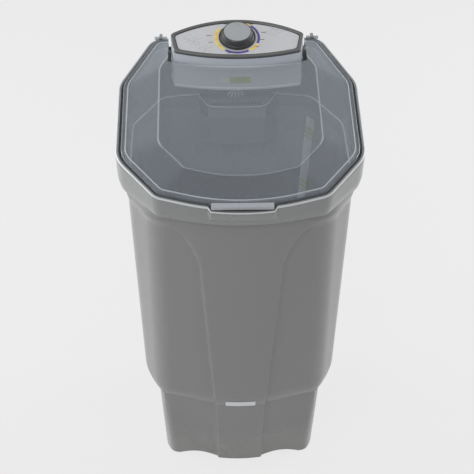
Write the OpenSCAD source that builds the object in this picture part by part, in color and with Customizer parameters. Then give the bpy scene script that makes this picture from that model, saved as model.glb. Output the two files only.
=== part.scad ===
// Semi-automatic washing machine: one tub under a clear sloping lid, with a control console at the rear.
// The origin lies on the floor under the agitator's axis. +Z is up and the front faces -Y.

/* [Rim and collar] */
// Width across the rim
rim_w = 550; // [540:1:566]
// Distance from the agitator's axis to the rim's front
rim_front = 284; // [278:1:292]
// Distance from the agitator's axis to the rim's rear
rim_rear = 290; // [286:1:300]
// Height of the rim's front edge
rim_front_h = 817; // [810:1:840]
// Slope of the rim up to the rear, in degrees
rim_slope = 11; // [9:0.5:12]
// Height of the collar's lower edge
collar_h = 771; // [750:1:778]
// How far the collar's lower edge lies in from the rim
collar_in = 8; // [6:0.5:8.5]
// Wall of the tub, the cabinet and the base
wall = 3; // [2.5:0.1:3.5]
// Width of the rim's flat top
land_w = 7; // [6:0.5:8]
// Depth of the lid's seat under the rim's top
seat_drop = 8; // [7:0.5:10]
// Width of the lid's seat
seat_w = 18; // [17:0.5:19]

/* [Tub] */
// Gap between the cabinet's neck and the tub's ledge at the sides
ledge_gap = 2; // [1.6:0.1:6]
// Gap between the cabinet's neck and the tub's ledge at the front
ledge_front_gap = 6; // [5:0.5:10]
// Gap between the cabinet's neck and the tub's ledge at the rear
ledge_rear_gap = 8; // [7:0.5:12]
// Height of the ledge
mouth_h = 797; // [790:1:801]
// Width of the ledge
ledge_w = 6; // [5:0.5:7]
// How far the tub leans in from its mouth down to its floor
tub_lean = 48; // [44:1:54]
// Height of the tub's floor above the ground
tub_floor_h = 300; // [294:1:306]
// Height of the rounding between floor and wall
tub_round = 26; // [20:1:28]

/* [Cabinet] */
// Gap between the collar and the cabinet's neck
neck_gap = 7; // [5:0.5:7.5]
// Width of the cabinet at its lower end, before the shoulder turns in
cabinet_low_w = 460; // [452:1:468]
// Distance from the axis to the cabinet's front at its lower end
cabinet_low_front = 236; // [230:1:240]
// Distance from the axis to the cabinet's rear at its lower end
cabinet_low_rear = 250; // [246:1:256]
// Height of the cabinet's lower edge
cabinet_low_h = 212; // [208:1:218]
// Height at which the shoulder starts to turn in
shoulder_h = 254; // [246:1:266]
// How far the cabinet's lower edge stands out from the base
lip = 2; // [1.5:0.1:2.2]
// Depth of the recessed corner panels
recess = 7; // [4:0.5:8]
// Half width of the middle panel at its lower end
panel_low_half = 56; // [50:1:62]
// Half width of the middle panel under the arches
panel_top_half = 85; // [78:1:92]
// Height at which the arches start
arch_low_h = 608; // [580:1:640]
// Height of the arches' crown
arch_top_h = 756; // [745:1:760]

/* [Base] */
// Width of the base at its top
base_top_w = 400; // [394:1:408]
// Distance from the axis to the base's front at its top
base_top_front = 226; // [222:1:228]
// Distance from the axis to the base's rear at its top
base_top_rear = 237; // [233:1:238]
// Width of the base at the ground
base_low_w = 374; // [366:1:380]
// Distance from the axis to the base's front at the ground
base_low_front = 192; // [188:1:198]
// Distance from the axis to the base's rear at the ground
base_low_rear = 214; // [208:1:220]
// Height of the base's lowest edge above the ground
edge_h = 2; // [1.5:0.5:4]
// Rise of the scallops in the lower edge
scallop = 10; // [6:1:12]
// Height of the spigot that stands up inside the cabinet
spigot_h = 24; // [18:1:28]
// Underside of the deck inside the base
deck_h = 205; // [202:1:206]
// Thickness of the deck
deck_t = 4; // [3:0.5:4]

/* [Lid] */
// Gap between the lid's edge and the seal
lid_gap = 0.5; // [0.4:0.1:0.8]
// Height of the lid's edge above the rim
lid_edge_h = 6; // [5:0.5:7]
// Width of the lid's thick edge
lid_edge_w = 5; // [4.5:0.5:6]
// Thickness of the lid's clear skin
lid_t = 2.8; // [2.4:0.2:3]
// Width of the lid's raised middle
plateau_w = 362; // [350:1:372]
// Distance from the axis to the front of the raised middle
plateau_front = 208; // [200:1:212]
// Height of the raised middle above the rim
plateau_h = 23; // [18:1:25]
// Width of the lid's tab
tab_w = 133; // [120:1:140]
// How far the tab stands out from the lid's edge
tab_out = 14; // [12:0.5:15]
// Depth of the finger pocket under the tab, below the lid's seat
pouch_deep = 21; // [16:1:26]
// How far the finger pocket stands out from the rim
pouch_out = 12; // [10:1:15]
// How far the pocket's lip lies below the rim
pouch_lip = 15; // [10:1:18]
// Height of the hinge's axis above the rim
hinge_up = 6; // [5.5:0.5:7]
// Distance from the hinge's axis to the rim's rear
hinge_back = 14; // [14:0.5:15]
// Radius of the hinge pins
pin_r = 2; // [1.8:0.1:2.2]

/* [Console] */
// Front of the console's panel, at its middle
panel_front_y = 150; // [148:1:153]
// Height of the panel's front edge
panel_front_h = 942; // [940:1:946]
// Slope of the panel, in degrees
panel_slope = 16; // [14:0.5:18]
// Depth of the panel along its slope
panel_d = 126; // [122:1:130]
// Half width of the panel at its front corners
panel_half_front = 149; // [144:1:150]
// Half width of the panel at its rear corners
panel_half_rear = 156; // [152:1:157]
// How far the front corners lie behind the panel's front
front_bulge = 22; // [18:1:25]
// How far the rear corners lie before the panel's rear
rear_bulge = 47; // [42:1:50]
// Height of the console's underside
console_low_h = 860; // [858:1:864]
// Height of the rim's notch that the console stands in
notch_h = 905; // [903:1:907]
// Gap between the console and the lid or the rim beside it
notch_gap = 6; // [5:0.5:7]
// Height of the frame round the panel
frame_h = 7; // [6:0.5:8]
// Width of the frame round the panel
frame_w = 9; // [8:0.5:10]
// Diameter of the timer knob's flange
knob_flange_d = 86; // [84:1:90]
// Diameter of the timer knob's grip at its foot
knob_d = 76; // [70:1:78]
// Height of the timer knob above the panel
knob_h = 19; // [17:0.5:22]

/* [Filter] */
// Width of the filter pocket at the tub's wall
pocket_w = 176; // [168:1:180]
// Width of the filter pocket at its front
pocket_front_w = 134; // [126:1:140]
// Distance from the axis to the pocket's front
pocket_front_y = 179; // [177:1:184]
// Distance from the axis to the pocket's back
pocket_back_y = 224; // [222:1:226]
// Depth of the pocket
pocket_deep = 100; // [90:1:120]
// Depth of the filter basket
basket_deep = 55; // [48:1:56]

/* [Drive] */
// Diameter of the agitator
agitator_d = 304; // [290:1:316]
// Number of the agitator's fins
fins = 6; // [4:1:8]
// Radius of the drive shaft
shaft_r = 7.5; // [7:0.1:8]
// Radius of the large pulley
pulley_r = 85; // [80:1:90]
// Radius of the motor's pulley
motor_pulley_r = 24; // [22:1:27]
// Distance between the two pulleys' axes
centre_d = 130; // [126:1:134]
// Radius of the motor's case
motor_r = 56; // [52:1:58]
// Height of the motor's case
motor_h = 100; // [90:1:110]
// Radius of the motor's shaft
motor_shaft_r = 5; // [4.6:0.1:5.4]
// Running clearance of a shaft in its bore
run_gap = 0.06; // [0.05:0.01:0.08]
// Outer radius of the drain pipe
drain_r = 13; // [12:0.5:14]

/* [Hidden] */

arc_steps = 6;
touch = 0.3;
base_step = 3.5;
bow_r = 430;
bow_a = 17.5;
rear_bow_a = 2;
mouth_bow_a = 9;
front_cut_x = 88;
front_cut_y = 158;
neck_cut_x = 91;
neck_cut_y = 178;
low_cut_x = 82;
low_cut_y = 165;
base_cut_x = 24;
base_cut_y = 86;
base_bow_a = 18;
base_low_bow_a = 8.5;
rear_cut_x = 75;
rear_cut_y = 172;
corner_r = 45;
side_r = 90;
rim_half = rim_w / 2;
neck_in = collar_in + wall + neck_gap;
mouth_in = neck_in + wall + ledge_w + wall;
mouth_half = rim_half - mouth_in - ledge_gap;
mouth_front = rim_front - mouth_in - ledge_front_gap;
mouth_rear = rim_rear - mouth_in - ledge_rear_gap;
tub_low_half = mouth_half - tub_lean - wall;
tub_low_d = mouth_front - tub_lean;
neck_row = mouth_h - wall - 9;
neck_out = 3;
panel_step = 7;
panel_fade = 0.46;
spigot_gap = 0.8;
spigot_lean = 4.5;
leg_r = 18;
leg_bore_r = 15;
foot_bore_r = 10;
motor_hole_half = 66;
shaft_hole_r = 24;
seat_in = land_w + seat_w;
axis_y = rim_rear - hinge_back;
pulley_low = 215;
plate_t = 3;
cabinet_rows = [0.2, 0.44, 0.64, 0.78, 0.9, 0.96, 1];

// Height of the sloping plane through the rim's top at distance y behind the axis
function rim_z(y) = rim_front_h + (y + rim_front) * tan(rim_slope);
hinge_z = rim_z(axis_y) + hinge_up;
function mix(a, b, t) = a + (b - a) * t;
function unit(v) = v / norm(v);

// Points and outward normals of the arc that rounds the corner c between its neighbours p and q
function rounded(p, c, q, r) =
    let (u = unit(p - c), v = unit(q - c), half = acos(u * v) / 2)
    let (m = c + unit(u + v) * r / sin(half))
    let (a = c + u * r / tan(half) - m, b = c + v * r / tan(half) - m)
    let (from = atan2(a[1], a[0]), turn = (atan2(b[1], b[0]) - from + 540) % 360 - 180)
    [for (i = [0 : arc_steps]) let (w = from + turn * i / arc_steps)
        [m[0] + r * cos(w), m[1] + r * sin(w), cos(w), sin(w)]];

// Right half of a plan outline, from the middle of the front to the middle of the rear
function half_plan(half, front, rear, rear_a, cut_x = front_cut_x, cut_y = front_cut_y, front_a = bow_a) =
    let (k = half / 275, rise = bow_r * k * (1 / cos(front_a) - 1), back = bow_r * k * (1 / cos(rear_a) - 1))
    let (f0 = [0, -front - rise], b0 = [0, rear + back])
    let (fx = half - cut_x * k, bx = half - rear_cut_x * k)
    let (f1 = [fx, f0[1] + fx * tan(front_a)], b1 = [bx, b0[1] - bx * tan(rear_a)])
    let (s1 = [half, -front + cut_y * k], s2 = [half, rear - rear_cut_y * k])
    concat([for (p = rounded([-f1[0], f1[1]], f0, f1, bow_r * k)) if (p[0] > -0.001) p],
        rounded(f0, f1, s1, corner_r * k), rounded(f1, s1, s2, side_r * k),
        rounded(s1, s2, b1, side_r * k), rounded(s2, b1, b0, corner_r * k),
        [for (p = rounded(b1, b0, [-b1[0], b1[1]], bow_r * k)) if (p[0] > -0.001) p]);

// Closed outline of a half plan, set in by d along its normals
function whole(h, d = 0) =
    let (right = [for (p = h) [p[0] - d * p[2], p[1] - d * p[3]]])
    concat(right, [for (i = [len(right) - 2 : -1 : 1]) [-right[i][0], right[i][1]]]);

function level(outline, z) = [for (p = outline) [p[0], p[1], z]];
function sloped(outline, up) = [for (p = outline) [p[0], p[1], rim_z(p[1]) + up]];
function rim_plan(d) = whole(half_plan(rim_half, rim_front, rim_rear, rear_bow_a), d);
function mouth_plan(d) = whole(half_plan(mouth_half, mouth_front, mouth_rear, mouth_bow_a), d);
function low_plan(d) = whole(half_plan(tub_low_half, tub_low_d, tub_low_d, mouth_bow_a), d);

// Skin over a list of rings with equal counts: capped at both ends, or closed on itself
module skin(rings, closed = false) {
    n = len(rings[0]);
    m = len(rings);
    last = closed ? m - 1 : m - 2;
    bands = [for (i = [0 : last], j = [0 : n - 1])
        let (a = i * n, b = ((i + 1) % m) * n, k = (j + 1) % n)
        each [[a + j, b + j, b + k], [a + j, b + k, a + k]]];
    caps = closed ? [] : [[for (j = [0 : n - 1]) j], [for (j = [n - 1 : -1 : 0]) (m - 1) * n + j]];
    polyhedron(points = [for (r = rings) each r], faces = concat(bands, caps));
}

// Running length along a half plan
function lengths(h, i = 1, out = [0]) =
    i == len(h) ? out
    : lengths(h, i + 1, concat(out, [out[i - 1] + norm([h[i][0] - h[i - 1][0], h[i][1] - h[i - 1][1]])]));

// Point and normal at the share s of a half plan's length
function along(h, t, s) =
    [for (k = [0 : 3]) lookup(s * t[len(t) - 1], [for (i = [0 : len(h) - 1]) [t[i], h[i][k]]])];

// Outline with a proud middle panel of half width edge and corner panels set back by deep
function panelled(h, edge, deep, d) =
    let (t = lengths(h), total = t[len(t) - 1], fade = panel_fade)
    let (a = min(edge * 1.03 / total, fade - 0.05), b = a + panel_step / total)
    let (shares = concat([for (i = [0 : 3]) a * i / 3], [for (i = [0 : 10]) mix(b, fade, i / 10)],
        [for (i = [1 : 20]) mix(fade, 1, i / 20)]))
    let (set_back = [for (i = [0 : 10]) deep * (1 - pow(i / 10, 3))])
    let (depths = concat([0, 0, 0, 0], set_back, [for (i = [1 : 20]) 0]))
    let (right = [for (i = [0 : len(shares) - 1])
        let (p = along(h, t, shares[i]), in = d + depths[i], w = i == 0 || i == len(shares) - 1 ? 0 : 1)
        [w * (p[0] - in * p[2]), p[1] - in * (i == 0 ? -1 : i == len(shares) - 1 ? 1 : p[3])]])
    concat(right, [for (i = [len(right) - 2 : -1 : 1]) [-right[i][0], right[i][1]]]);

// Half width of the middle panel at height z
function panel_half(z) =
    z < arch_low_h ? mix(panel_low_half, panel_top_half, (z - cabinet_low_h) / (arch_low_h - cabinet_low_h))
    : let (q = min(1, (z - arch_low_h) / (arch_top_h - arch_low_h)))
        mix(panel_top_half, 200, 1 - sqrt(1 - q * q));

// Share of the shoulder's turn at height z, and the cabinet's rear there
function turn_in(z) = pow(max(0, shoulder_h - z) / (shoulder_h - cabinet_low_h), 2.2);
function cabinet_share(z) = min(1, (z - cabinet_low_h) / (collar_h - cabinet_low_h));
function cabinet_rear(z) =
    mix(mix(cabinet_low_rear, rim_rear - neck_in, cabinet_share(z)), base_top_rear + lip, turn_in(z));
// Half plan of the cabinet at height z, without its panels
function cabinet_half(z) =
    let (f = cabinet_share(z), in = turn_in(z))
    half_plan(mix(mix(cabinet_low_w / 2, rim_half - neck_in, f), base_top_w / 2 + lip, in),
        mix(mix(cabinet_low_front, rim_front - neck_in, f), base_top_front + lip, in),
        cabinet_rear(z), rear_bow_a,
        mix(mix(low_cut_x, neck_cut_x, f), base_cut_x, in),
        mix(mix(low_cut_y, neck_cut_y, f), base_cut_y, in),
        mix(bow_a, base_bow_a, in));
function cabinet_plan(z, d) = panelled(cabinet_half(z), panel_half(z), z < arch_top_h ? recess : 0, d);
function neck_plan(d) =
    panelled(half_plan(rim_half, rim_front, rim_rear, rear_bow_a), panel_half(arch_top_h), 0,
        neck_in - neck_out + d);

function base_plan(z, d) =
    let (f = z / cabinet_low_h)
    panelled(half_plan(mix(base_low_w, base_top_w, f) / 2, mix(base_low_front, base_top_front, f),
            mix(base_low_rear, base_top_rear, f), rear_bow_a, base_cut_x, base_cut_y,
            mix(base_low_bow_a, base_bow_a, f)),
        mix(panel_low_half - 6, panel_low_half, f), recess, d);

// Scalloped edge of the base: low at the middle panel and at the corners
function scalloped(plan) =
    [for (p = plan) let (x = abs(p[0]), corner_x = base_low_w / 2 - 38)
        let (t = x > corner_x ? (p[1] + 90) / 200 : (x - panel_low_half) / (corner_x - panel_low_half))
        [p[0], p[1], edge_h + (t > 0 && t < 1 ? scallop * sin(180 * t) : 0)]];

module cabinet() {
    arch_rows = [for (q = cabinet_rows) mix(arch_low_h, arch_top_h, q)];
    rows = concat([cabinet_low_h, cabinet_low_h + 14, cabinet_low_h + 30, shoulder_h,
        mix(shoulder_h, arch_low_h, 0.5), arch_low_h], arch_rows, [collar_h]);
    top = -seat_drop - wall;
    flange_in = lip + base_step - spigot_gap;
    color([0.44, 0.45, 0.45])
    difference() {
        skin(concat([for (z = rows) level(cabinet_plan(z, 0), z)],
            [level(neck_plan(0), neck_row), sloped(neck_plan(0), top), sloped(neck_plan(wall), top),
                level(neck_plan(wall), neck_row)],
            [for (i = [len(rows) - 1 : -1 : 1]) level(cabinet_plan(rows[i], wall), rows[i])],
            [level(cabinet_plan(cabinet_low_h, wall), cabinet_low_h + wall),
                level(cabinet_plan(cabinet_low_h, flange_in), cabinet_low_h + wall),
                level(cabinet_plan(cabinet_low_h, flange_in), cabinet_low_h)]), closed = true);
        notch_space(notch_h - touch);
        base_screw_places() rotate([90, 0, 0]) cylinder(r = 2.3, h = 60, center = true, $fn = 32);
    }
}

// Notch in the rear of the rim and the neck, from the height low upwards
module notch_space(low) {
    half = panel_half_rear + notch_gap;
    translate([-half, mouth_rear - 30, low]) cube([2 * half, 90, 120]);
}

module base() {
    rows = [40, 100, 160, cabinet_low_h];
    low = base_plan(0, 0);
    low_in = base_plan(0, wall);
    color([0.45, 0.46, 0.46])
    difference() {
        union() {
            skin(concat([scalloped(low)], [for (z = rows) level(base_plan(z, 0), z)],
                [level(base_plan(cabinet_low_h, base_step), cabinet_low_h),
                    level(base_plan(cabinet_low_h, base_step + spigot_lean), cabinet_low_h + spigot_h),
                    level(base_plan(cabinet_low_h, base_step + spigot_lean + wall), cabinet_low_h + spigot_h),
                    level(base_plan(cabinet_low_h, base_step + wall), cabinet_low_h - 8)],
                [for (i = [2 : -1 : 0]) level(base_plan(rows[i], wall), rows[i])], [scalloped(low_in)]),
                closed = true);
            translate([0, 0, deck_h]) linear_extrude(deck_t) polygon(base_plan(deck_h, wall / 2));
            leg_places() translate([0, 0, edge_h]) cylinder(r = leg_r, h = deck_h - edge_h + 1, $fn = 48);
        }
        leg_places() {
            translate([0, 0, edge_h + 8]) cylinder(r = leg_bore_r, h = deck_h - edge_h - 8, $fn = 48);
            cylinder(r = foot_bore_r, h = edge_h + 2, $fn = 48);
        }
        translate([-motor_hole_half, centre_d - 72, deck_h - 1]) cube([2 * motor_hole_half, 140, deck_t + 2]);
        cylinder(r = shaft_hole_r, h = 300, $fn = 64);
        translate([drain_x, drain_y, 100]) cylinder(r = drain_r + 3, h = 200, $fn = 48);
        translate([drain_x, 150, drain_z]) rotate([-90, 0, 0])
            cylinder(r = drain_r + touch, h = 200, $fn = 48);
        translate([gland_x, 150, gland_z]) rotate([-90, 0, 0]) cylinder(r = 8 + touch, h = 200, $fn = 48);
        plate_screw_places() cylinder(r = 2.3, h = 30, center = true, $fn = 32);
        clip_screw_place() cylinder(r = 2.3, h = 30, center = true, $fn = 32);
        base_screw_places() rotate([90, 0, 0]) cylinder(r = 2.1, h = 60, center = true, $fn = 32);
    }
}
leg_front = [118, -128];
leg_rear = [130, 165];
module leg_places() {
    for (side = [-1, 1], p = [leg_front, leg_rear]) translate([side * p[0], p[1], 0]) children();
}

module rubber_feet() {
    color([0.12, 0.12, 0.12])
    leg_places() {
        cylinder(r = leg_r - 2, h = edge_h, $fn = 48);
        cylinder(r = foot_bore_r - touch, h = edge_h + 2, $fn = 48);
    }
}

module tub() {
    under = -seat_drop - wall;
    pad_r = 140;
    pad_step = 0.6;
    pouch_floor = rim_front_h - seat_drop - pouch_deep;
    pouch_back = rim_front - neck_in + neck_out + 0.5;
    seat_back = rim_front - seat_in - 2;
    color([0.47, 0.48, 0.49])
    difference() {
        union() {
            skin([level(low_plan(tub_round - wall), tub_floor_h - wall + pad_step),
                level(low_plan(5 - wall), tub_floor_h + 6),
                level(low_plan(-wall), tub_floor_h + tub_round), level(mouth_plan(-wall), mouth_h - wall),
                level(mouth_plan(-wall - ledge_w), mouth_h - wall), sloped(rim_plan(seat_in - wall), under),
                sloped(rim_plan(wall), under), level(rim_plan(collar_in + wall), collar_h),
                level(rim_plan(collar_in), collar_h), sloped(rim_plan(0), -6), sloped(rim_plan(1), -1.5),
                sloped(rim_plan(2.5), 0), sloped(rim_plan(land_w), 0), sloped(rim_plan(land_w), -seat_drop),
                sloped(rim_plan(seat_in), -seat_drop), level(mouth_plan(-ledge_w), mouth_h),
                level(mouth_plan(0), mouth_h), level(low_plan(0), tub_floor_h + tub_round),
                level(low_plan(8), tub_floor_h + 6), level(low_plan(tub_round), tub_floor_h - pad_step)]);
            translate([0, 0, tub_floor_h - wall]) cylinder(r = pad_r, h = wall, $fn = 128);
            hull() {
                translate([0, 0, pouch_floor - wall]) linear_extrude(1)
                    polygon(tab_outline(pouch_x + wall - 1, -rim_front - 1, -pouch_back, 6));
                translate([0, 0, rim_front_h - pouch_lip - 1]) linear_extrude(1)
                    polygon(tab_outline(pouch_x + wall, -rim_front - pouch_out, -pouch_back, 9));
            }
            translate([-pouch_x - wall, -rim_front + 4, pouch_floor])
                cube([2 * (pouch_x + wall), rim_front - 4 - pouch_back, pouch_deep + wall]);
        }
        translate([0, 0, pouch_floor]) linear_extrude(60)
            polygon(tab_outline(pouch_x, -rim_front - pouch_out + wall, -pouch_back - wall, 7));
        translate([0, 0, rim_front_h - seat_drop]) linear_extrude(60)
            polygon(tab_outline(pouch_x, -rim_front - pouch_out, -seat_back, 7));
        notch_space(notch_h);
        cylinder(r = 12.5, h = 2 * tub_floor_h, $fn = 64);
        translate([drain_x, drain_y, 0]) cylinder(r = drain_r - 1, h = 2 * tub_floor_h, $fn = 48);
        housing_screw_places() cylinder(r = 3.1, h = 2 * tub_floor_h, $fn = 32);
        pocket_screw_places() cylinder(r = 2.2, h = 30, center = true, $fn = 32);
        console_screw_places() rotate([90, 0, 0]) cylinder(r = 2.2, h = 24, center = true, $fn = 32);
        bracket_screw_places() rotate([90, 0, 0]) cylinder(r = 1.7, h = 20, center = true, $fn = 32);
    }
}

// Straight-sided outline with two cut corners at its front
function tab_outline(half, front, back, cut) =
    [[-half, back], [-half, front + cut], [-half + cut, front],
        [half - cut, front], [half, front + cut], [half, back]];

seal_w = 4.5;
lid_in = land_w + lid_gap + seal_w;
pouch_x = tab_w / 2 + 4;
module lid() {
    edge_low = -seat_drop + touch;
    inner = lid_in + lid_edge_w;
    color([0.75, 0.79, 0.82, 0.4])
    difference() {
        union() {
            skin([sloped(plateau_plan(lid_t * 0.6), plateau_h - lid_t),
                sloped(plateau_plan(-1), plateau_h - lid_t - 2),
                sloped(rim_plan(inner + 3), lid_edge_h - lid_t - 3), sloped(rim_plan(inner - 1), edge_low),
                sloped(rim_plan(lid_in), edge_low), sloped(rim_plan(lid_in), lid_edge_h - 2),
                sloped(rim_plan(lid_in + 2), lid_edge_h), sloped(rim_plan(inner), lid_edge_h),
                sloped(rim_plan(inner + 5), lid_edge_h - 1), sloped(plateau_plan(-2), plateau_h - 2),
                sloped(plateau_plan(2), plateau_h)]);
            for (side = [-1, 1]) translate([side * hinge_x, axis_y, hinge_z]) rotate([0, 90, 0])
                cylinder(r = knuckle_r, h = 30, center = true, $fn = 48);
        }
        console_cut();
        for (side = [-1, 1]) translate([side * hinge_x, axis_y, hinge_z]) rotate([0, 90, 0]) {
            cylinder(r = knuckle_r + 1.6, h = knuckle_w + 2 * touch, center = true, $fn = 48);
            cylinder(r = pin_r, h = 60, center = true, $fn = 48);
        }
        translate([0, 0, rim_front_h - 40]) linear_extrude(90)
            polygon(tab_outline(tab_w / 2 + touch, -rim_front, -rim_front + lid_in + lid_edge_w - 1, 1));
    }
}
function plateau_plan(d) = whole(half_plan(plateau_w / 2, plateau_front, rim_rear - 30, rear_bow_a), d);

// Space that the console takes up, grown by its gap and run out to the rear
module console_cut() {
    half = panel_half_rear + notch_gap;
    front_cut_r = lens_front_r(cos(panel_slope));
    translate([0, 0, console_low_h]) linear_extrude(200) intersection() {
        translate([0, panel_front_y + front_cut_r]) circle(r = front_cut_r + notch_gap, $fn = 240);
        translate([-half, 0]) square([2 * half, 400]);
    }
    translate([-half, panel_front_y + front_bulge, console_low_h]) cube([2 * half, 200, 200]);
}

module lid_handle() {
    top = rim_front_h + lid_edge_h + 2;
    low = rim_front_h - seat_drop + touch;
    front = -rim_front + lid_in - tab_out;
    back = -rim_front + lid_in + lid_edge_w - 1 - touch;
    color([0.56, 0.57, 0.58])
    difference() {
        translate([0, 0, low]) linear_extrude(top - low) polygon(tab_outline(tab_w / 2, front, back, 4));
        translate([-tab_w / 2 + 8, front + 4, low - 4]) cube([tab_w - 16, tab_out - 2, top - low - 2]);
    }
}

module rim_seal() {
    outer = land_w + touch;
    inner = lid_in - lid_gap;
    color([0.07, 0.07, 0.08])
    difference() {
        skin([sloped(rim_plan(outer), -seat_drop), sloped(rim_plan(outer), -1.2),
            sloped(rim_plan(inner), -1.2), sloped(rim_plan(inner), -seat_drop)], closed = true);
        notch_space(notch_h - 40);
        translate([-pouch_x - touch, -rim_front - 10, rim_front_h - 30])
            cube([2 * (pouch_x + touch), 40, 60]);
    }
}

hinge_x = panel_half_rear + notch_gap + 18;
knuckle_w = 7;
knuckle_r = 4;
module hinge_brackets() {
    lift = rim_z(rim_rear) + touch;
    back = rim_rear + touch;
    color([0.4, 0.41, 0.42])
    for (side = [-1, 1]) translate([side * hinge_x - knuckle_w / 2, 0, 0]) difference() {
        union() {
            translate([0, axis_y, hinge_z]) rotate([0, 90, 0])
                cylinder(r = knuckle_r, h = knuckle_w, $fn = 48);
            translate([0, axis_y, lift]) cube([knuckle_w, back + 3 - axis_y, hinge_z + 2 - lift]);
            translate([0, back, lift - 24]) cube([knuckle_w, 3, 24 + hinge_z + 2 - lift]);
        }
        translate([-1, axis_y, hinge_z]) rotate([0, 90, 0]) cylinder(r = pin_r + run_gap, h = 20, $fn = 48);
        translate([knuckle_w / 2, back - 1, lift - 14]) rotate([-90, 0, 0])
            cylinder(r = 1.8, h = 6, $fn = 32);
    }
}
module bracket_screw_places() {
    for (side = [-1, 1]) translate([side * hinge_x, rim_rear, rim_z(rim_rear) + touch - 14]) children();
}

module hinge_pins() {
    color([0.75, 0.76, 0.78])
    for (side = [-1, 1]) translate([side * hinge_x, axis_y, hinge_z]) rotate([0, 90, 0])
        cylinder(r = pin_r, h = 30, center = true, $fn = 48);
}

// Lens-shaped outline, grown by g: c is 1 on the panel and the slope's cosine in plan
function lens_front_r(c) = (pow(panel_half_front, 2) + pow(front_bulge * c, 2)) / (2 * front_bulge * c);
function lens_rear_r(c) = (pow(panel_half_rear, 2) + pow(rear_bulge * c, 2)) / (2 * rear_bulge * c);
module lens(g, c = 1) {
    deep = panel_d * c;
    rear = deep - rear_bulge * c;
    intersection() {
        translate([0, lens_front_r(c)]) circle(r = lens_front_r(c) + g, $fn = 240);
        translate([0, deep - lens_rear_r(c)]) circle(r = lens_rear_r(c) + g, $fn = 240);
        polygon([[-panel_half_front - g + 3, -20], [panel_half_front + g - 3, -20],
            [panel_half_front + g, front_bulge * c], [panel_half_rear + g, rear],
            [panel_half_rear + g, deep + 20], [-panel_half_rear - g, deep + 20],
            [-panel_half_rear - g, rear], [-panel_half_front - g, front_bulge * c]]);
    }
}
// Places children on the sloping panel: x across, y up the slope, z out of it
module on_panel() {
    translate([0, panel_front_y, panel_front_h]) rotate([panel_slope, 0, 0]) children();
}
// Everything under the panel's plane, sunk by d
module under_panel(d) {
    on_panel() translate([-300, -200, -400 - d]) cube([600, 600, 400]);
}
console_back = mouth_rear - 5;
module console_space(g, low) {
    intersection() {
        translate([0, panel_front_y, low]) linear_extrude(200) lens(-1 - g, cos(panel_slope));
        union() {
            translate([-200, 0, low]) cube([400, console_back - g, 200]);
            translate([-200, 0, notch_h + g]) cube([400, 400, 200]);
        }
    }
}

module console_housing() {
    color([0.55, 0.57, 0.6])
    difference() {
        intersection() {
            union() {
                console_space(0, console_low_h);
                translate([-panel_half_rear + 1, console_back - 30, notch_h])
                    cube([2 * panel_half_rear - 2, rim_rear + 3.2 - console_back + 30, wall]);
                for (side = [-1, 1]) translate([side * tab_x - 14, rim_rear + 0.2, notch_h - 22])
                    cube([28, wall, 24]);
            }
            under_panel(0);
        }
        console_space(wall, console_low_h + wall);
        translate([spray_x, spray_y, 0]) cylinder(r = 8.4, h = 2000, $fn = 48);
        inlet_place() rotate([-90, 0, 0]) cylinder(r = inlet_body_r + 0.4, h = 60, center = true, $fn = 48);
        console_screw_places() rotate([90, 0, 0]) cylinder(r = 2.3, h = 24, center = true, $fn = 32);
        spray_screw_places() cylinder(r = 1.8, h = 40, center = true, $fn = 32);
    }
}
tab_x = 112;
module console_screw_places() {
    for (side = [-1, 1]) translate([side * tab_x, rim_rear, notch_h - 12]) children();
}
module console_screws() {
    color([0.7, 0.71, 0.72]) {
        console_screw_places() {
            translate([0, wall + 0.2, 0]) rotate([-90, 0, 0]) cylinder(r = 4.2, h = 2.8, $fn = 32);
            translate([0, -5, 0]) rotate([-90, 0, 0]) cylinder(r = 2, h = wall + 5.4, $fn = 32);
        }
        bracket_screw_places() {
            translate([0, 3.3, 0]) rotate([-90, 0, 0]) cylinder(r = 3, h = 2, $fn = 32);
            translate([0, -5, 0]) rotate([-90, 0, 0]) cylinder(r = 1.6, h = 8.4, $fn = 32);
        }
    }
}

deck_w = 3;
module console_frame() {
    color([0.2, 0.22, 0.21])
    on_panel() difference() {
        linear_extrude(frame_h) lens(0);
        translate([0, 0, deck_w]) linear_extrude(20) lens(-frame_w);
        translate([0, knob_v, -1]) cylinder(r = 5.5, h = 20, $fn = 48);
        timer_screw_places() cylinder(r = 1.8, h = 20, center = true, $fn = 32);
    }
}
knob_v = 67;
plate_h = 1.2;
module timer_screw_places() {
    for (side = [-1, 1]) translate([side * 24, knob_v, deck_w]) children();
}

module panel_plate() {
    color([0.86, 0.87, 0.88])
    on_panel() translate([0, 0, deck_w]) difference() {
        linear_extrude(plate_h) lens(-frame_w - touch);
        translate([0, knob_v, -1]) cylinder(r = 5.5, h = 20, $fn = 48);
        timer_screw_places() translate([0, 0, -deck_w]) cylinder(r = 3.4, h = 20, center = true, $fn = 32);
    }
}

knob_low = deck_w + plate_h + 2;
knob_top = deck_w + plate_h + knob_h;
grip_top_r = knob_d / 2 - 3.5;
module timer_knob() {
    color([0.16, 0.17, 0.18])
    on_panel() translate([0, knob_v, 0]) difference() {
        union() {
            rotate_extrude($fn = 96) polygon([[3, knob_low], [knob_flange_d / 2, knob_low],
                [knob_flange_d / 2, knob_low + 1.6], [knob_d / 2 + 1, knob_low + 3],
                [knob_d / 2, knob_low + 4],
                [grip_top_r, knob_top - 1.2], [grip_top_r - 1.4, knob_top], [3, knob_top]]);
        }
        translate([0, 0, knob_top - 1.6]) cylinder(r = grip_top_r - 3, h = 5, $fn = 96);
        translate([0, 0, -1]) cylinder(r = shaft_d / 2, h = knob_top - 4, $fn = 48);
        for (i = [0 : 23]) rotate(i * 15) translate([knob_d / 2 + 0.6, 0, knob_low + 4.2])
            cylinder(r = 2, h = 40, $fn = 24);
    }
}
shaft_d = 6;
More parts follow.
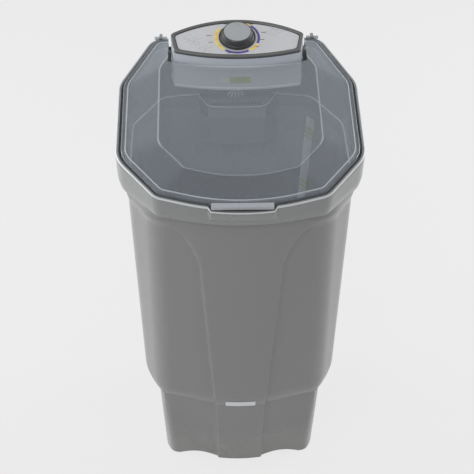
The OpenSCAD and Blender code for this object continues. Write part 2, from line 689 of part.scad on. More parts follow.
module knob_cap() {
    color([0.6, 0.61, 0.62])
    on_panel() translate([0, knob_v, knob_top - 1.6]) {
        cylinder(r = grip_top_r - 3.3, h = 2.2, $fn = 96);
        translate([-1.2, grip_top_r - 15, 2]) cube([2.4, 10, 1]);
    }
}

module timer() {
    color([0.82, 0.82, 0.78])
    on_panel() translate([0, knob_v, 0]) {
        difference() {
            translate([-30, -25, -37]) cube([60, 50, 37]);
            translate([0, 0, -30]) cylinder(r = shaft_d / 2 + run_gap, h = 40, $fn = 48);
            timer_hole_places() cylinder(r = 1.5, h = 24, center = true, $fn = 32);
        }
        for (x = [-20, -7, 7, 20]) translate([x - 2.4, -8, -45]) cube([4.8, 0.8, 8]);
    }
}
module timer_hole_places() {
    for (side = [-1, 1]) translate([side * 24, 0, 0]) children();
}
module timer_spindle() {
    color([0.75, 0.76, 0.78])
    on_panel() translate([0, knob_v, -29]) cylinder(r = shaft_d / 2, h = knob_top - 5 + 29, $fn = 48);
}
module timer_screws() {
    color([0.7, 0.71, 0.72])
    on_panel() timer_screw_places() {
        cylinder(r = 3, h = 2, $fn = 32);
        translate([0, 0, -deck_w - 9]) cylinder(r = 1.4, h = deck_w + 9.4, $fn = 32);
    }
}

spray_x = -5;
spray_y = 170;
inlet_x = -100;
inlet_z = 930;
hose_r = 7;
hose_bore = 5;
hose_bend = 20;
inlet_wall_y = panel_front_y - 1 + cos(panel_slope) * panel_d - lens_rear_r(cos(panel_slope))
    + sqrt(pow(lens_rear_r(cos(panel_slope)), 2) - inlet_x * inlet_x);
module inlet_place() {
    translate([inlet_x, inlet_wall_y, inlet_z]) children();
}
thread_r = 13.2;
thread_h = 13.5;
thread_relief = 1.5;
inlet_body_r = 10;
inlet_flange = 6.4;
module water_inlet() {
    color([0.85, 0.85, 0.86])
    inlet_place() rotate([-90, 0, 0]) difference() {
        union() {
            translate([0, 0, -14]) cylinder(r = inlet_body_r, h = 14 + inlet_flange, $fn = 64);
            translate([0, 0, inlet_flange]) cylinder(r = 16, h = 3, $fn = 64);
            translate([0, 0, inlet_flange + 2]) cylinder(r = thread_r - 1.6, h = 4, $fn = 64);
            translate([0, 0, inlet_flange + 3 + thread_relief])
                cylinder(r = thread_r, h = thread_h, $fn = 96);
        }
        translate([0, 0, -20]) cylinder(r = hose_bore, h = 60, $fn = 48);
        translate([0, 0, inlet_flange + 5]) cylinder(r = 9.5, h = 30, $fn = 64);
    }
}

// Hose along its route: back to front, across, then down, with two round bends
module hose_route(r) {
    end_y = inlet_wall_y - 14;
    bend_x = spray_x - hose_bend;
    translate([inlet_x, end_y, inlet_z]) rotate([90, 0, 0])
        cylinder(r = r, h = end_y - spray_y - hose_bend, $fn = 20);
    translate([inlet_x + hose_bend, spray_y + hose_bend, inlet_z]) rotate(180)
        rotate_extrude(angle = 90, $fn = 40) translate([hose_bend, 0]) circle(r = r, $fn = 20);
    translate([inlet_x + hose_bend, spray_y, inlet_z]) rotate([0, 90, 0])
        cylinder(r = r, h = bend_x - inlet_x - hose_bend, $fn = 20);
    translate([bend_x, spray_y, inlet_z - hose_bend]) rotate([90, 0, 0])
        rotate_extrude(angle = 90, $fn = 40) translate([hose_bend, 0]) circle(r = r, $fn = 20);
    translate([spray_x, spray_y, spray_top]) cylinder(r = r, h = inlet_z - hose_bend - spray_top, $fn = 20);
}
spray_top = console_low_h + 10;
module inlet_hose() {
    color([0.3, 0.32, 0.34])
    difference() {
        hose_route(hose_r);
        hose_route(hose_bore);
    }
}

module spray_screw_places() {
    for (side = [-1, 1]) translate([spray_x + side * 18, spray_y, console_low_h]) children();
}
// Outline of one spray fin that leans by a degrees: near its root and at its tip
function fin_points(a) =
    [for (p = [[9, -1.2], [30, -1.2], [30, 1.2], [9, 1.2]])
        [p[0] * sin(a) + p[1] * cos(a), -p[0] * cos(a) + p[1] * sin(a)]];
module water_spray() {
    color([0.78, 0.8, 0.82])
    difference() {
        union() {
            translate([spray_x, spray_y, console_low_h - 3])
                cylinder(r = 8, h = spray_top - console_low_h + 3, $fn = 48);
            translate([spray_x - 24, spray_y - 8, console_low_h - 3]) cube([48, 15, 3]);
            translate([spray_x, spray_y + 6.5, console_low_h + 4]) rotate([90, 0, 0]) linear_extrude(14.5)
                polygon(concat([[-10, -5.5]], [for (a = [-36 : 18 : 36]) each fin_points(a)], [[10, -5.5]]));
        }
        translate([spray_x, spray_y, console_low_h - 10]) cylinder(r = 5, h = 60, $fn = 48);
        spray_screw_places() cylinder(r = 1.8, h = 40, center = true, $fn = 32);
    }
}

// Trapezoid of the filter pocket in plan, grown by g
module pocket_shape(g) {
    polygon([[-pocket_front_w / 2 - g, pocket_front_y - g], [pocket_front_w / 2 + g, pocket_front_y - g],
        [pocket_w / 2 + g, pocket_back_y - 18], [pocket_w / 2 + g, pocket_back_y + g],
        [-pocket_w / 2 - g, pocket_back_y + g], [-pocket_w / 2 - g, pocket_back_y - 18]]);
}
module pocket_screw_places() {
    for (side = [-1, 1])
        translate([side * 55, mouth_rear - 55 * tan(mouth_bow_a) + ledge_w / 2, mouth_h]) children();
}
flange_t = 2;
module filter_pocket() {
    color([0.42, 0.44, 0.46])
    difference() {
        union() {
            translate([0, 0, mouth_h - pocket_deep]) linear_extrude(pocket_deep) pocket_shape(0);
            translate([0, 0, mouth_h]) linear_extrude(flange_t) intersection() {
                polygon(mouth_plan(-ledge_w + 0.8));
                translate([-pocket_w / 2, pocket_back_y - wall]) square([pocket_w, 100]);
            }
        }
        translate([0, 0, mouth_h - pocket_deep + wall]) linear_extrude(pocket_deep + 10) pocket_shape(-wall);
        for (i = [-5 : 5]) translate([i * 11 - 3, pocket_front_y + 8, mouth_h - pocket_deep - 1])
            cube([6, 26, 10]);
        pocket_screw_places() cylinder(r = 2, h = 30, center = true, $fn = 32);
    }
}
module pocket_screws() {
    color([0.7, 0.71, 0.72])
    pocket_screw_places() {
        translate([0, 0, flange_t]) cylinder(r = 3, h = 2, $fn = 32);
        translate([0, 0, -7]) cylinder(r = 1.8, h = 7 + flange_t + 0.4, $fn = 32);
    }
}

module lint_filter() {
    g = -wall - 1.2;
    low = mouth_h + touch - basket_deep;
    color([0.27, 0.29, 0.31])
    difference() {
        union() {
            translate([0, 0, low]) linear_extrude(basket_deep) pocket_shape(g);
            translate([0, 0, mouth_h + touch]) linear_extrude(flange_t) intersection() {
                pocket_shape(-0.4);
                translate([-200, 0]) square([400, pocket_back_y - wall - touch]);
            }
        }
        translate([0, 0, low + 2]) linear_extrude(basket_deep + 10) pocket_shape(g - 2);
        for (i = [-6 : 6]) translate([i * 9 - 3, 0, low + 5]) cube([6, 400, basket_deep - 14]);
        for (i = [-6 : 6]) translate([i * 9 - 3, pocket_front_y + 12, low - 1]) cube([6, 22, 6]);
    }
}

strip_h = 0.6 * (mouth_h - tub_floor_h) - 18;
strip_top = mouth_h - 0.1 * (mouth_h - tub_floor_h);
// Point on the tub's inner wall at height z, d mm inside: t runs along its rear corner's cut and arc
function corner_wall(t, z, d) =
    let (h = half_plan(mouth_half, mouth_front, mouth_rear, mouth_bow_a))
    let (l = half_plan(tub_low_half, tub_low_d, tub_low_d, mouth_bow_a), low = tub_floor_h + tub_round)
    let (i = 3 + 3 * (arc_steps + 1) + floor(t), f = (z - low) / (mouth_h - low))
    let (p = mix(mix(l[i], l[i + 1], t - floor(t)), mix(h[i], h[i + 1], t - floor(t)), f))
    [p[0] - d * p[2], p[1] - d * p[3], z];
module level_strip() {
    low = strip_top - strip_h;
    color([0.78, 0.8, 0.78])
    skin([for (t = [0.88, 1, 2, 3, 4])
        [corner_wall(t, low, touch), corner_wall(t, strip_top, touch),
            corner_wall(t, strip_top, 1), corner_wall(t, low, 1)]]);
}

module console_sticker() {
    c = cos(panel_slope);
    color([0.85, 0.87, 0.82])
    translate([0, panel_front_y + lens_front_r(c), 877]) intersection() {
        difference() {
            cylinder(r = lens_front_r(c) - 0.4, h = 19, $fn = 360);
            translate([0, 0, -1]) cylinder(r = lens_front_r(c) - 0.95, h = 21, $fn = 360);
        }
        translate([-42, -lens_front_r(c) - 10, -1]) cube([74, 60, 21]);
    }
}

badge_half = 36;
badge_h = 15;
function badge_point(x, z, d) =
    let (h = cabinet_half(z), t = lengths(h), p = along(h, t, abs(x) / t[len(t) - 1]))
    [x, p[1] + d * p[3], z];
module badge_plate() {
    low = cabinet_low_h + 1;
    top = low + badge_h;
    color([0.8, 0.81, 0.82])
    skin([for (i = [-3 : 3]) let (x = badge_half * i / 3)
        [badge_point(x, low, 1.4), badge_point(x, top, 1.4), badge_point(x, top, touch),
            badge_point(x, low, touch)]]);
}

disc_h = tub_floor_h + 8;
module agitator() {
    r = agitator_d / 2;
    color([0.9, 0.91, 0.92])
    translate([0, 0, disc_h]) {
        rotate_extrude($fn = 128) polygon([[shaft_r, 0], [r, 0], [r, 5], [r - 8, 8], [60, 14], [38, 40],
            [30, 60], [24, 64], [15, 64], [15, 40], [3, 40], [3, 28], [shaft_r, 28]]);
        for (i = [0 : fins - 1]) rotate(i * 360 / fins + 15) rotate([90, 0, 0]) translate([0, 0, -3.5])
            linear_extrude(7) polygon([[26, 6], [r - 10, 4], [r - 12, 20], [r - 22, 27], [r - 60, 34],
                [52, 46], [34, 56], [26, 56]]);
    }
}
module agitator_screw() {
    color([0.72, 0.73, 0.74])
    translate([0, 0, disc_h]) {
        translate([0, 0, 40]) cylinder(r = 8, h = 5, $fn = 48);
        translate([0, 0, 12]) cylinder(r = 2.9, h = 28.4, $fn = 48);
    }
}
module agitator_cap() {
    color([0.3, 0.42, 0.6])
    translate([0, 0, disc_h]) rotate_extrude($fn = 96)
        polygon([[0, 56], [14.7, 56], [14.7, 64], [12, 67], [7, 69], [0, 69.6]]);
}
module drive_shaft() {
    color([0.7, 0.71, 0.73])
    difference() {
        translate([0, 0, pulley_low - 4]) cylinder(r = shaft_r, h = disc_h + 27.7 - pulley_low + 4, $fn = 64);
        translate([0, 0, disc_h + 11]) cylinder(r = 2.9, h = 40, $fn = 48);
    }
}

housing_top = tub_floor_h - wall;
housing_low = pulley_low + 26;
housing_screw_d = 46;
housing_flange_r = housing_screw_d + 12;
bearing_r = 17.5;
bearing_h = 11;
module housing_screw_places() {
    for (i = [0 : 3]) rotate(45 + 90 * i) translate([housing_screw_d, 0, housing_top]) children();
}
module bearing_housing() {
    color([0.55, 0.56, 0.57])
    difference() {
        union() {
            translate([0, 0, housing_top - 6]) cylinder(r = housing_flange_r, h = 6, $fn = 96);
            translate([0, 0, housing_low]) cylinder(r = 26, h = housing_top - housing_low - 1, $fn = 96);
            for (i = [0 : 3]) rotate(90 * i) translate([20, -2.5, housing_low + 10])
                cube([20, 5, housing_top - housing_low - 12]);
        }
        translate([0, 0, housing_low - 1]) cylinder(r = 15, h = 200, $fn = 64);
        translate([0, 0, housing_low - 1]) cylinder(r = bearing_r, h = bearing_h + 1, $fn = 64);
        translate([0, 0, housing_top - 9 - bearing_h]) cylinder(r = bearing_r, h = 60, $fn = 64);
        housing_screw_places() cylinder(r = 3.1, h = 60, center = true, $fn = 32);
    }
}
module bearings() {
    color([0.78, 0.79, 0.8])
    for (z = [housing_low, housing_top - 9 - bearing_h]) translate([0, 0, z]) difference() {
        cylinder(r = bearing_r, h = bearing_h, $fn = 64);
        translate([0, 0, -1]) cylinder(r = shaft_r + run_gap, h = bearing_h + 2, $fn = 64);
        for (w = [-0.5, bearing_h - 0.5]) translate([0, 0, w]) difference() {
            cylinder(r = bearing_r - 2.5, h = 1, $fn = 64);
            translate([0, 0, -1]) cylinder(r = shaft_r + 2.5, h = 3, $fn = 64);
        }
    }
}
module shaft_seal() {
    color([0.1, 0.1, 0.1])
    translate([0, 0, housing_top - 9]) difference() {
        union() {
            cylinder(r = bearing_r, h = 9, $fn = 64);
            cylinder(r = 12.4, h = 13, $fn = 64);
        }
        translate([0, 0, -1]) cylinder(r = shaft_r + run_gap, h = 20, $fn = 64);
    }
}
module housing_screws() {
    color([0.7, 0.71, 0.72])
    housing_screw_places() {
        translate([0, 0, wall]) cylinder(r = 5, h = 3.6, $fn = 32);
        translate([0, 0, -14]) cylinder(r = 3, h = 14 + wall + 0.4, $fn = 32);
        translate([0, 0, -11]) cylinder(r = 5.4, h = 5, $fn = 6);
    }
}

belt_in = 7.5;
belt_t = 6.5;
pulley_w = 16;
// Rim of a pulley of radius r with its V groove, as a half section down to the radius low_r
function pulley_rim(r, low_r) =
    [[low_r, 0], [r, 0], [r, 2], [r - 9, 5], [r - 9, pulley_w - 5], [r, pulley_w - 2], [r, pulley_w],
        [low_r, pulley_w]];
module drive_pulley() {
    color([0.35, 0.36, 0.38])
    translate([0, 0, pulley_low]) difference() {
        union() {
            rotate_extrude($fn = 128) polygon(pulley_rim(pulley_r, pulley_r - 16));
            translate([0, 0, 6]) cylinder(r = pulley_r - 10, h = 4, $fn = 128);
            cylinder(r = 20, h = 22, $fn = 64);
        }
        translate([0, 0, -1]) cylinder(r = shaft_r, h = 40, $fn = 64);
        for (i = [0 : 4]) rotate(72 * i) translate([44, 0, -1]) cylinder(r = 14, h = 40, $fn = 64);
    }
}
module motor_pulley() {
    color([0.6, 0.61, 0.62])
    translate([0, centre_d, pulley_low]) difference() {
        rotate_extrude($fn = 96) polygon(pulley_rim(motor_pulley_r, motor_shaft_r - 1));
        translate([0, 0, -1]) cylinder(r = motor_shaft_r, h = 40, $fn = 64);
    }
}
module belt_loop(out) {
    hull() {
        circle(r = pulley_r - belt_in + out, $fn = 120);
        translate([0, centre_d]) circle(r = motor_pulley_r - belt_in + out, $fn = 120);
    }
}
module drive_belt() {
    color([0.09, 0.09, 0.09])
    translate([0, 0, pulley_low + pulley_w / 2 - 3.2]) linear_extrude(6.4) difference() {
        belt_loop(belt_t);
        belt_loop(0);
    }
}

motor_top = deck_h - plate_t;
module at_motor(z) {
    translate([0, centre_d, z]) children();
}
module motor_screw_places() {
    for (i = [0 : 3]) at_motor(motor_top) rotate(45 + 90 * i) translate([44, 0, 0]) children();
}
module motor_case() {
    color([0.5, 0.52, 0.54])
    difference() {
        at_motor(motor_top - motor_h) cylinder(r = motor_r, h = motor_h, $fn = 96);
        at_motor(motor_top - motor_h + 4) cylinder(r = motor_r - 3, h = motor_h - 8, $fn = 96);
        at_motor(0) cylinder(r = motor_shaft_r + run_gap, h = 400, $fn = 64);
        motor_screw_places() cylinder(r = 2.4, h = 20, center = true, $fn = 32);
        for (i = [0 : 7]) at_motor(motor_top - motor_h - 1) rotate(45 * i + 22.5) translate([30, -3, 0])
            cube([14, 6, 6]);
    }
}
stator_low = motor_top - motor_h + 22;
stator_h = motor_h - 44;
module stator() {
    color([0.62, 0.4, 0.25])
    at_motor(stator_low) difference() {
        cylinder(r = motor_r - 3, h = stator_h, $fn = 96);
        translate([0, 0, -1]) cylinder(r = 31, h = stator_h + 2, $fn = 96);
    }
}
module motor_rotor() {
    color([0.66, 0.67, 0.69]) {
        at_motor(stator_low - 2) cylinder(r = 31 - touch, h = stator_h + 4, $fn = 96);
        at_motor(motor_top - motor_h - 18)
            cylinder(r = motor_shaft_r, h = pulley_low + pulley_w + 20 - motor_top + motor_h, $fn = 64);
    }
}
module motor_fan() {
    color([0.2, 0.22, 0.24])
    at_motor(motor_top - motor_h - 16) difference() {
        union() {
            cylinder(r = 12, h = 12, $fn = 64);
            cylinder(r = 42, h = 2, $fn = 96);
            for (i = [0 : 7]) rotate(45 * i) translate([10, -1, 0]) cube([31, 2, 11]);
        }
        translate([0, 0, -1]) cylinder(r = motor_shaft_r, h = 40, $fn = 64);
    }
}
motor_plate_w = 190;
motor_plate_d = 130;
plate_screw_x = motor_plate_w / 2 - 13;
plate_screw_y = motor_plate_d / 2 - 11;
module motor_plate() {
    color([0.62, 0.63, 0.65])
    difference() {
        translate([-motor_plate_w / 2, centre_d + 1 - motor_plate_d / 2, motor_top])
            cube([motor_plate_w, motor_plate_d, plate_t]);
        at_motor(0) cylinder(r = 14, h = 400, $fn = 64);
        motor_screw_places() cylinder(r = 2.6, h = 30, center = true, $fn = 32);
        plate_screw_places() cylinder(r = 2.3, h = 30, center = true, $fn = 32);
    }
}
module motor_screws() {
    color([0.7, 0.71, 0.72])
    motor_screw_places() {
        translate([0, 0, plate_t]) cylinder(r = 4.4, h = 3, $fn = 32);
        translate([0, 0, -9]) cylinder(r = 2.4, h = 9 + plate_t + 0.4, $fn = 32);
    }
}
module plate_screw_places() {
    for (x = [-plate_screw_x, plate_screw_x], y = [-plate_screw_y, plate_screw_y])
        translate([x, centre_d + y, deck_h]) children();
}
module plate_screws() {
    color([0.7, 0.71, 0.72]) {
        plate_screw_places() {
            translate([0, 0, deck_t]) cylinder(r = 4.4, h = 2.6, $fn = 32);
            translate([0, 0, -plate_t - 6]) cylinder(r = 2, h = 6 + plate_t + deck_t + 0.4, $fn = 32);
            translate([0, 0, -plate_t - 4]) cylinder(r = 4, h = 4, $fn = 6);
        }
        clip_screw_place() {
            translate([0, 0, deck_t]) cylinder(r = 4.4, h = 2.6, $fn = 32);
            translate([0, 0, -8]) cylinder(r = 2, h = 8 + deck_t + 0.4, $fn = 32);
            translate([0, 0, -6]) cylinder(r = 4, h = 4, $fn = 6);
        }
    }
}

cap_x = -112;
cap_y = 10;
cap_r = 20;
module clip_screw_place() {
    translate([cap_x, cap_y + cap_r + 20, deck_h]) children();
}
module capacitor() {
    color([0.88, 0.88, 0.86])
    translate([cap_x, cap_y, 118]) {
        cylinder(r = cap_r, h = 74, $fn = 64);
        for (side = [-1, 1]) translate([side * 7 - 3, -0.5, 74]) cube([6, 1, 8]);
    }
}
module capacitor_clip() {
    back = cap_y + cap_r + 0.4;
    color([0.6, 0.61, 0.62])
    difference() {
        union() {
            translate([cap_x, cap_y, 148]) cylinder(r = cap_r + 2, h = 14, $fn = 64);
            translate([cap_x - 7, back, 148]) cube([14, 2, deck_h - 148]);
            translate([cap_x - 7, back, deck_h - 2]) cube([14, 30, 2]);
        }
        translate([cap_x, cap_y, 140]) cylinder(r = cap_r + 0.1, h = 30, $fn = 64);
        clip_screw_place() cylinder(r = 2.2, h = 30, center = true, $fn = 32);
    }
}

drain_x = 85;
drain_y = -75;
drain_z = 140;
drain_bend = 25;
drain_bore = drain_r - 2.5;
spigot_y = base_low_rear + 46;
spigot_l = 24;
module drain_route(r) {
    translate([drain_x, drain_y, drain_z + drain_bend])
        cylinder(r = r, h = tub_floor_h - wall - drain_z - drain_bend, $fn = 64);
    translate([drain_x, drain_y + drain_bend, drain_z + drain_bend]) rotate([90, 0, 90]) rotate(180)
        rotate_extrude(angle = 90, $fn = 96) translate([drain_bend, 0]) circle(r = r, $fn = 64);
    translate([drain_x, drain_y + drain_bend, drain_z]) rotate([-90, 0, 0])
        cylinder(r = r, h = spigot_y - drain_y - drain_bend, $fn = 64);
}
module drain_pipe() {
    color([0.2, 0.21, 0.22])
    difference() {
        union() {
            drain_route(drain_r);
            translate([drain_x, drain_y, tub_floor_h - wall - 4]) cylinder(r = drain_r + 11, h = 4, $fn = 64);
            translate([drain_x, spigot_y - spigot_l, drain_z]) rotate([90, 0, 0])
                cylinder(r = drain_r + 3, h = 3, $fn = 64);
        }
        drain_route(drain_bore);
    }
}
module drain_strainer() {
    color([0.7, 0.71, 0.72])
    difference() {
        union() {
            translate([drain_x, drain_y, tub_floor_h]) cylinder(r = 20, h = 2.4, $fn = 64);
            translate([drain_x, drain_y, tub_floor_h - wall])
                cylinder(r = drain_r - 1.3, h = wall + 1, $fn = 48);
        }
        for (i = [-2 : 2]) translate([drain_x + i * 4 - 1.1, drain_y - 9, tub_floor_h - 10])
            cube([2.2, 18, 20]);
    }
}

gland_x = -100;
gland_z = 140;
module cord_gland() {
    f = (gland_z + 12) / cabinet_low_h;
    out = mix(base_low_rear, base_top_rear, f);
    color([0.1, 0.1, 0.1])
    translate([gland_x, out, gland_z]) rotate([-90, 0, 0]) difference() {
        union() {
            translate([0, 0, -16]) cylinder(r = 8, h = 20, $fn = 48);
            cylinder(r = 12, h = 4, $fn = 48);
            translate([0, 0, 4]) cylinder(r = 7, h = 10, $fn = 48);
        }
        translate([0, 0, -30]) cylinder(r = 4, h = 60, $fn = 48);
    }
}

base_screw_z = cabinet_low_h + spigot_h / 2;
base_screw_x = 60;
module base_screw_places() {
    for (side = [-1, 1]) translate([side * base_screw_x, base_top_rear, base_screw_z]) children();
}
module base_screws() {
    head = cabinet_rear(base_screw_z + 4.2) + touch - base_top_rear;
    color([0.7, 0.71, 0.72])
    base_screw_places() {
        translate([0, head, 0]) rotate([-90, 0, 0]) cylinder(r = 4.2, h = 2.4, $fn = 32);
        translate([0, -10, 0]) rotate([-90, 0, 0]) cylinder(r = 2, h = 10.4 + head, $fn = 32);
    }
}

cabinet();
base();
tub();
lid();
lid_handle();
rim_seal();
hinge_brackets();
hinge_pins();
console_housing();
console_frame();
panel_plate();
timer_knob();
knob_cap();
timer();
timer_spindle();
timer_screws();
water_inlet();
inlet_hose();
water_spray();
console_screws();
filter_pocket();
lint_filter();
pocket_screws();
level_strip();
console_sticker();
badge_plate();
agitator();
agitator_screw();
agitator_cap();
drive_shaft();
bearing_housing();
bearings();
shaft_seal();
housing_screws();
drive_pulley();
drive_belt();
motor_pulley();
motor_case();
stator();
motor_rotor();
motor_fan();
motor_plate();
motor_screws();
plate_screws();
capacitor();
capacitor_clip();
drain_strainer();
drain_pipe();
cord_gland();
rubber_feet();
base_screws();
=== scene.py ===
"""Dressed model of a free-standing semi-automatic washing machine with a clear sloping lid."""
import logging
import math
from dataclasses import astuple, dataclass, field, replace
from enum import Enum
from typing import Callable, ClassVar, Dict, List, Optional, Sequence, Tuple

import bmesh
import bpy
import numpy as np
from mathutils import Matrix, Vector
from mathutils.geometry import delaunay_2d_cdt


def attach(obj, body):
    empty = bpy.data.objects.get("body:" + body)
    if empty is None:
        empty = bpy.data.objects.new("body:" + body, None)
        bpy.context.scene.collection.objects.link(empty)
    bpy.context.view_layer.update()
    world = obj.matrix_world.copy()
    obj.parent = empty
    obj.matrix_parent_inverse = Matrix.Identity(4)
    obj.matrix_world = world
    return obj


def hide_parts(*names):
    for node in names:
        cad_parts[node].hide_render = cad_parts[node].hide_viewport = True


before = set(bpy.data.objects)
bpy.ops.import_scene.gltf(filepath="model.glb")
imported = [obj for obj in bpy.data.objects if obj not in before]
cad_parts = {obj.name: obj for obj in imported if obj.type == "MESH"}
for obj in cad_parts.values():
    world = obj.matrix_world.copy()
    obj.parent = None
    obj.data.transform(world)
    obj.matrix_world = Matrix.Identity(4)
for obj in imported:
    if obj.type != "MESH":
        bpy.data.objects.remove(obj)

LOG = logging.getLogger("washer")
MM = 0.001
TURN = 2 * math.pi
Rings = np.ndarray
Colour = Tuple[float, float, float]
Profile = Sequence[Tuple[float, float, float]]


def srgb(red: float, green: float, blue: float) -> Colour:
    """Linear colour of an 8-bit display colour.

    Args:
        red, green, blue: display values from 0 to 255.

    Returns:
        The three linear values.
    """
    c = np.array([red, green, blue]) / 255.0
    linear = np.where(c <= 0.04045, c / 12.92, ((c + 0.055) / 1.055) ** 2.4)
    return tuple(float(v) for v in linear)


# Sizes shared by several sub-assemblies, in millimetres, as on the solids


@dataclass(frozen=True)
class Sizes:
    """Shared sizes of the machine, in millimetres and degrees."""

    # Rim, collar and the lid's seat
    rim_half: float = 275.0
    rim_front: float = 284.0
    rim_rear: float = 290.0
    rim_front_h: float = 817.0
    rim_slope: float = 11.0
    collar_h: float = 771.0
    collar_in: float = 8.0
    wall: float = 3.0
    land_w: float = 7.0
    seat_drop: float = 8.0
    seat_w: float = 18.0
    notch_h: float = 905.0
    notch_half: float = 162.0
    notch_gap: float = 6.0
    notch_y: float = 222.0

    # Tub inside the rim
    mouth_h: float = 797.0
    ledge_w: float = 6.0
    floor_h: float = 300.0
    tub_round: float = 26.0

    # Cabinet and base
    neck_gap: float = 7.0
    neck_row: float = 785.0
    neck_out: float = 3.0
    spigot_gap: float = 0.8
    spigot_lean: float = 4.5
    cabinet_low_h: float = 212.0
    shoulder_h: float = 254.0
    lip: float = 2.0
    base_step: float = 3.5
    recess: float = 7.0
    arch_low_h: float = 608.0
    arch_top_h: float = 756.0

    # Lid, its tab and its hinge
    lid_in: float = 12.0
    lid_gap: float = 0.5
    tab_w: float = 133.0
    hinge_x: float = 180.0
    hinge_y: float = 276.0
    hinge_up: float = 6.0

    # Console
    panel_front_y: float = 150.0
    panel_front_h: float = 942.0
    panel_slope: float = 16.0
    panel_d: float = 126.0
    half_front: float = 149.0
    half_rear: float = 156.0
    front_bulge: float = 22.0
    rear_bulge: float = 47.0
    console_low_h: float = 860.0
    knob_v: float = 67.0

    @property
    def neck_in(self) -> float:
        """How far the cabinet's neck lies in from the rim."""
        return self.collar_in + self.wall + self.neck_gap

    @property
    def seat_in(self) -> float:
        """How far the lid's seat reaches in from the rim."""
        return self.land_w + self.seat_w

    def rim_z(self, y: np.ndarray) -> np.ndarray:
        """Height of the rim's sloping plane at the distance y behind the axis."""
        return self.rim_front_h + (y + self.rim_front) * math.tan(math.radians(self.rim_slope))

    @property
    def hinge_z(self) -> float:
        """Height of the lid's hinge axis over the rim's rear."""
        return float(self.rim_z(np.array(self.hinge_y))) + self.hinge_up


S = Sizes()


def mix(a: float, b: float, t: float) -> float:
    """Value between a and b at the share t."""
    return a + (b - a) * t


def eased(t: np.ndarray) -> np.ndarray:
    """Smooth step from 0 to 1: three t squared less two t cubed, clipped to that range."""
    t = np.clip(t, 0, 1)
    return t * t * (3 - 2 * t)


def curve(a: np.ndarray, c: np.ndarray, b: np.ndarray, t: np.ndarray) -> np.ndarray:
    """Quadratic curve from a to b with the control c, at the shares t."""
    return (1 - t) ** 2 * a + 2 * t * (1 - t) * c + t * t * b


def circle(count: int) -> np.ndarray:
    """Evenly spaced angles once round, in radians, without the last one that meets the first."""
    return np.linspace(0, TURN, count, endpoint=False)


# Plan outlines


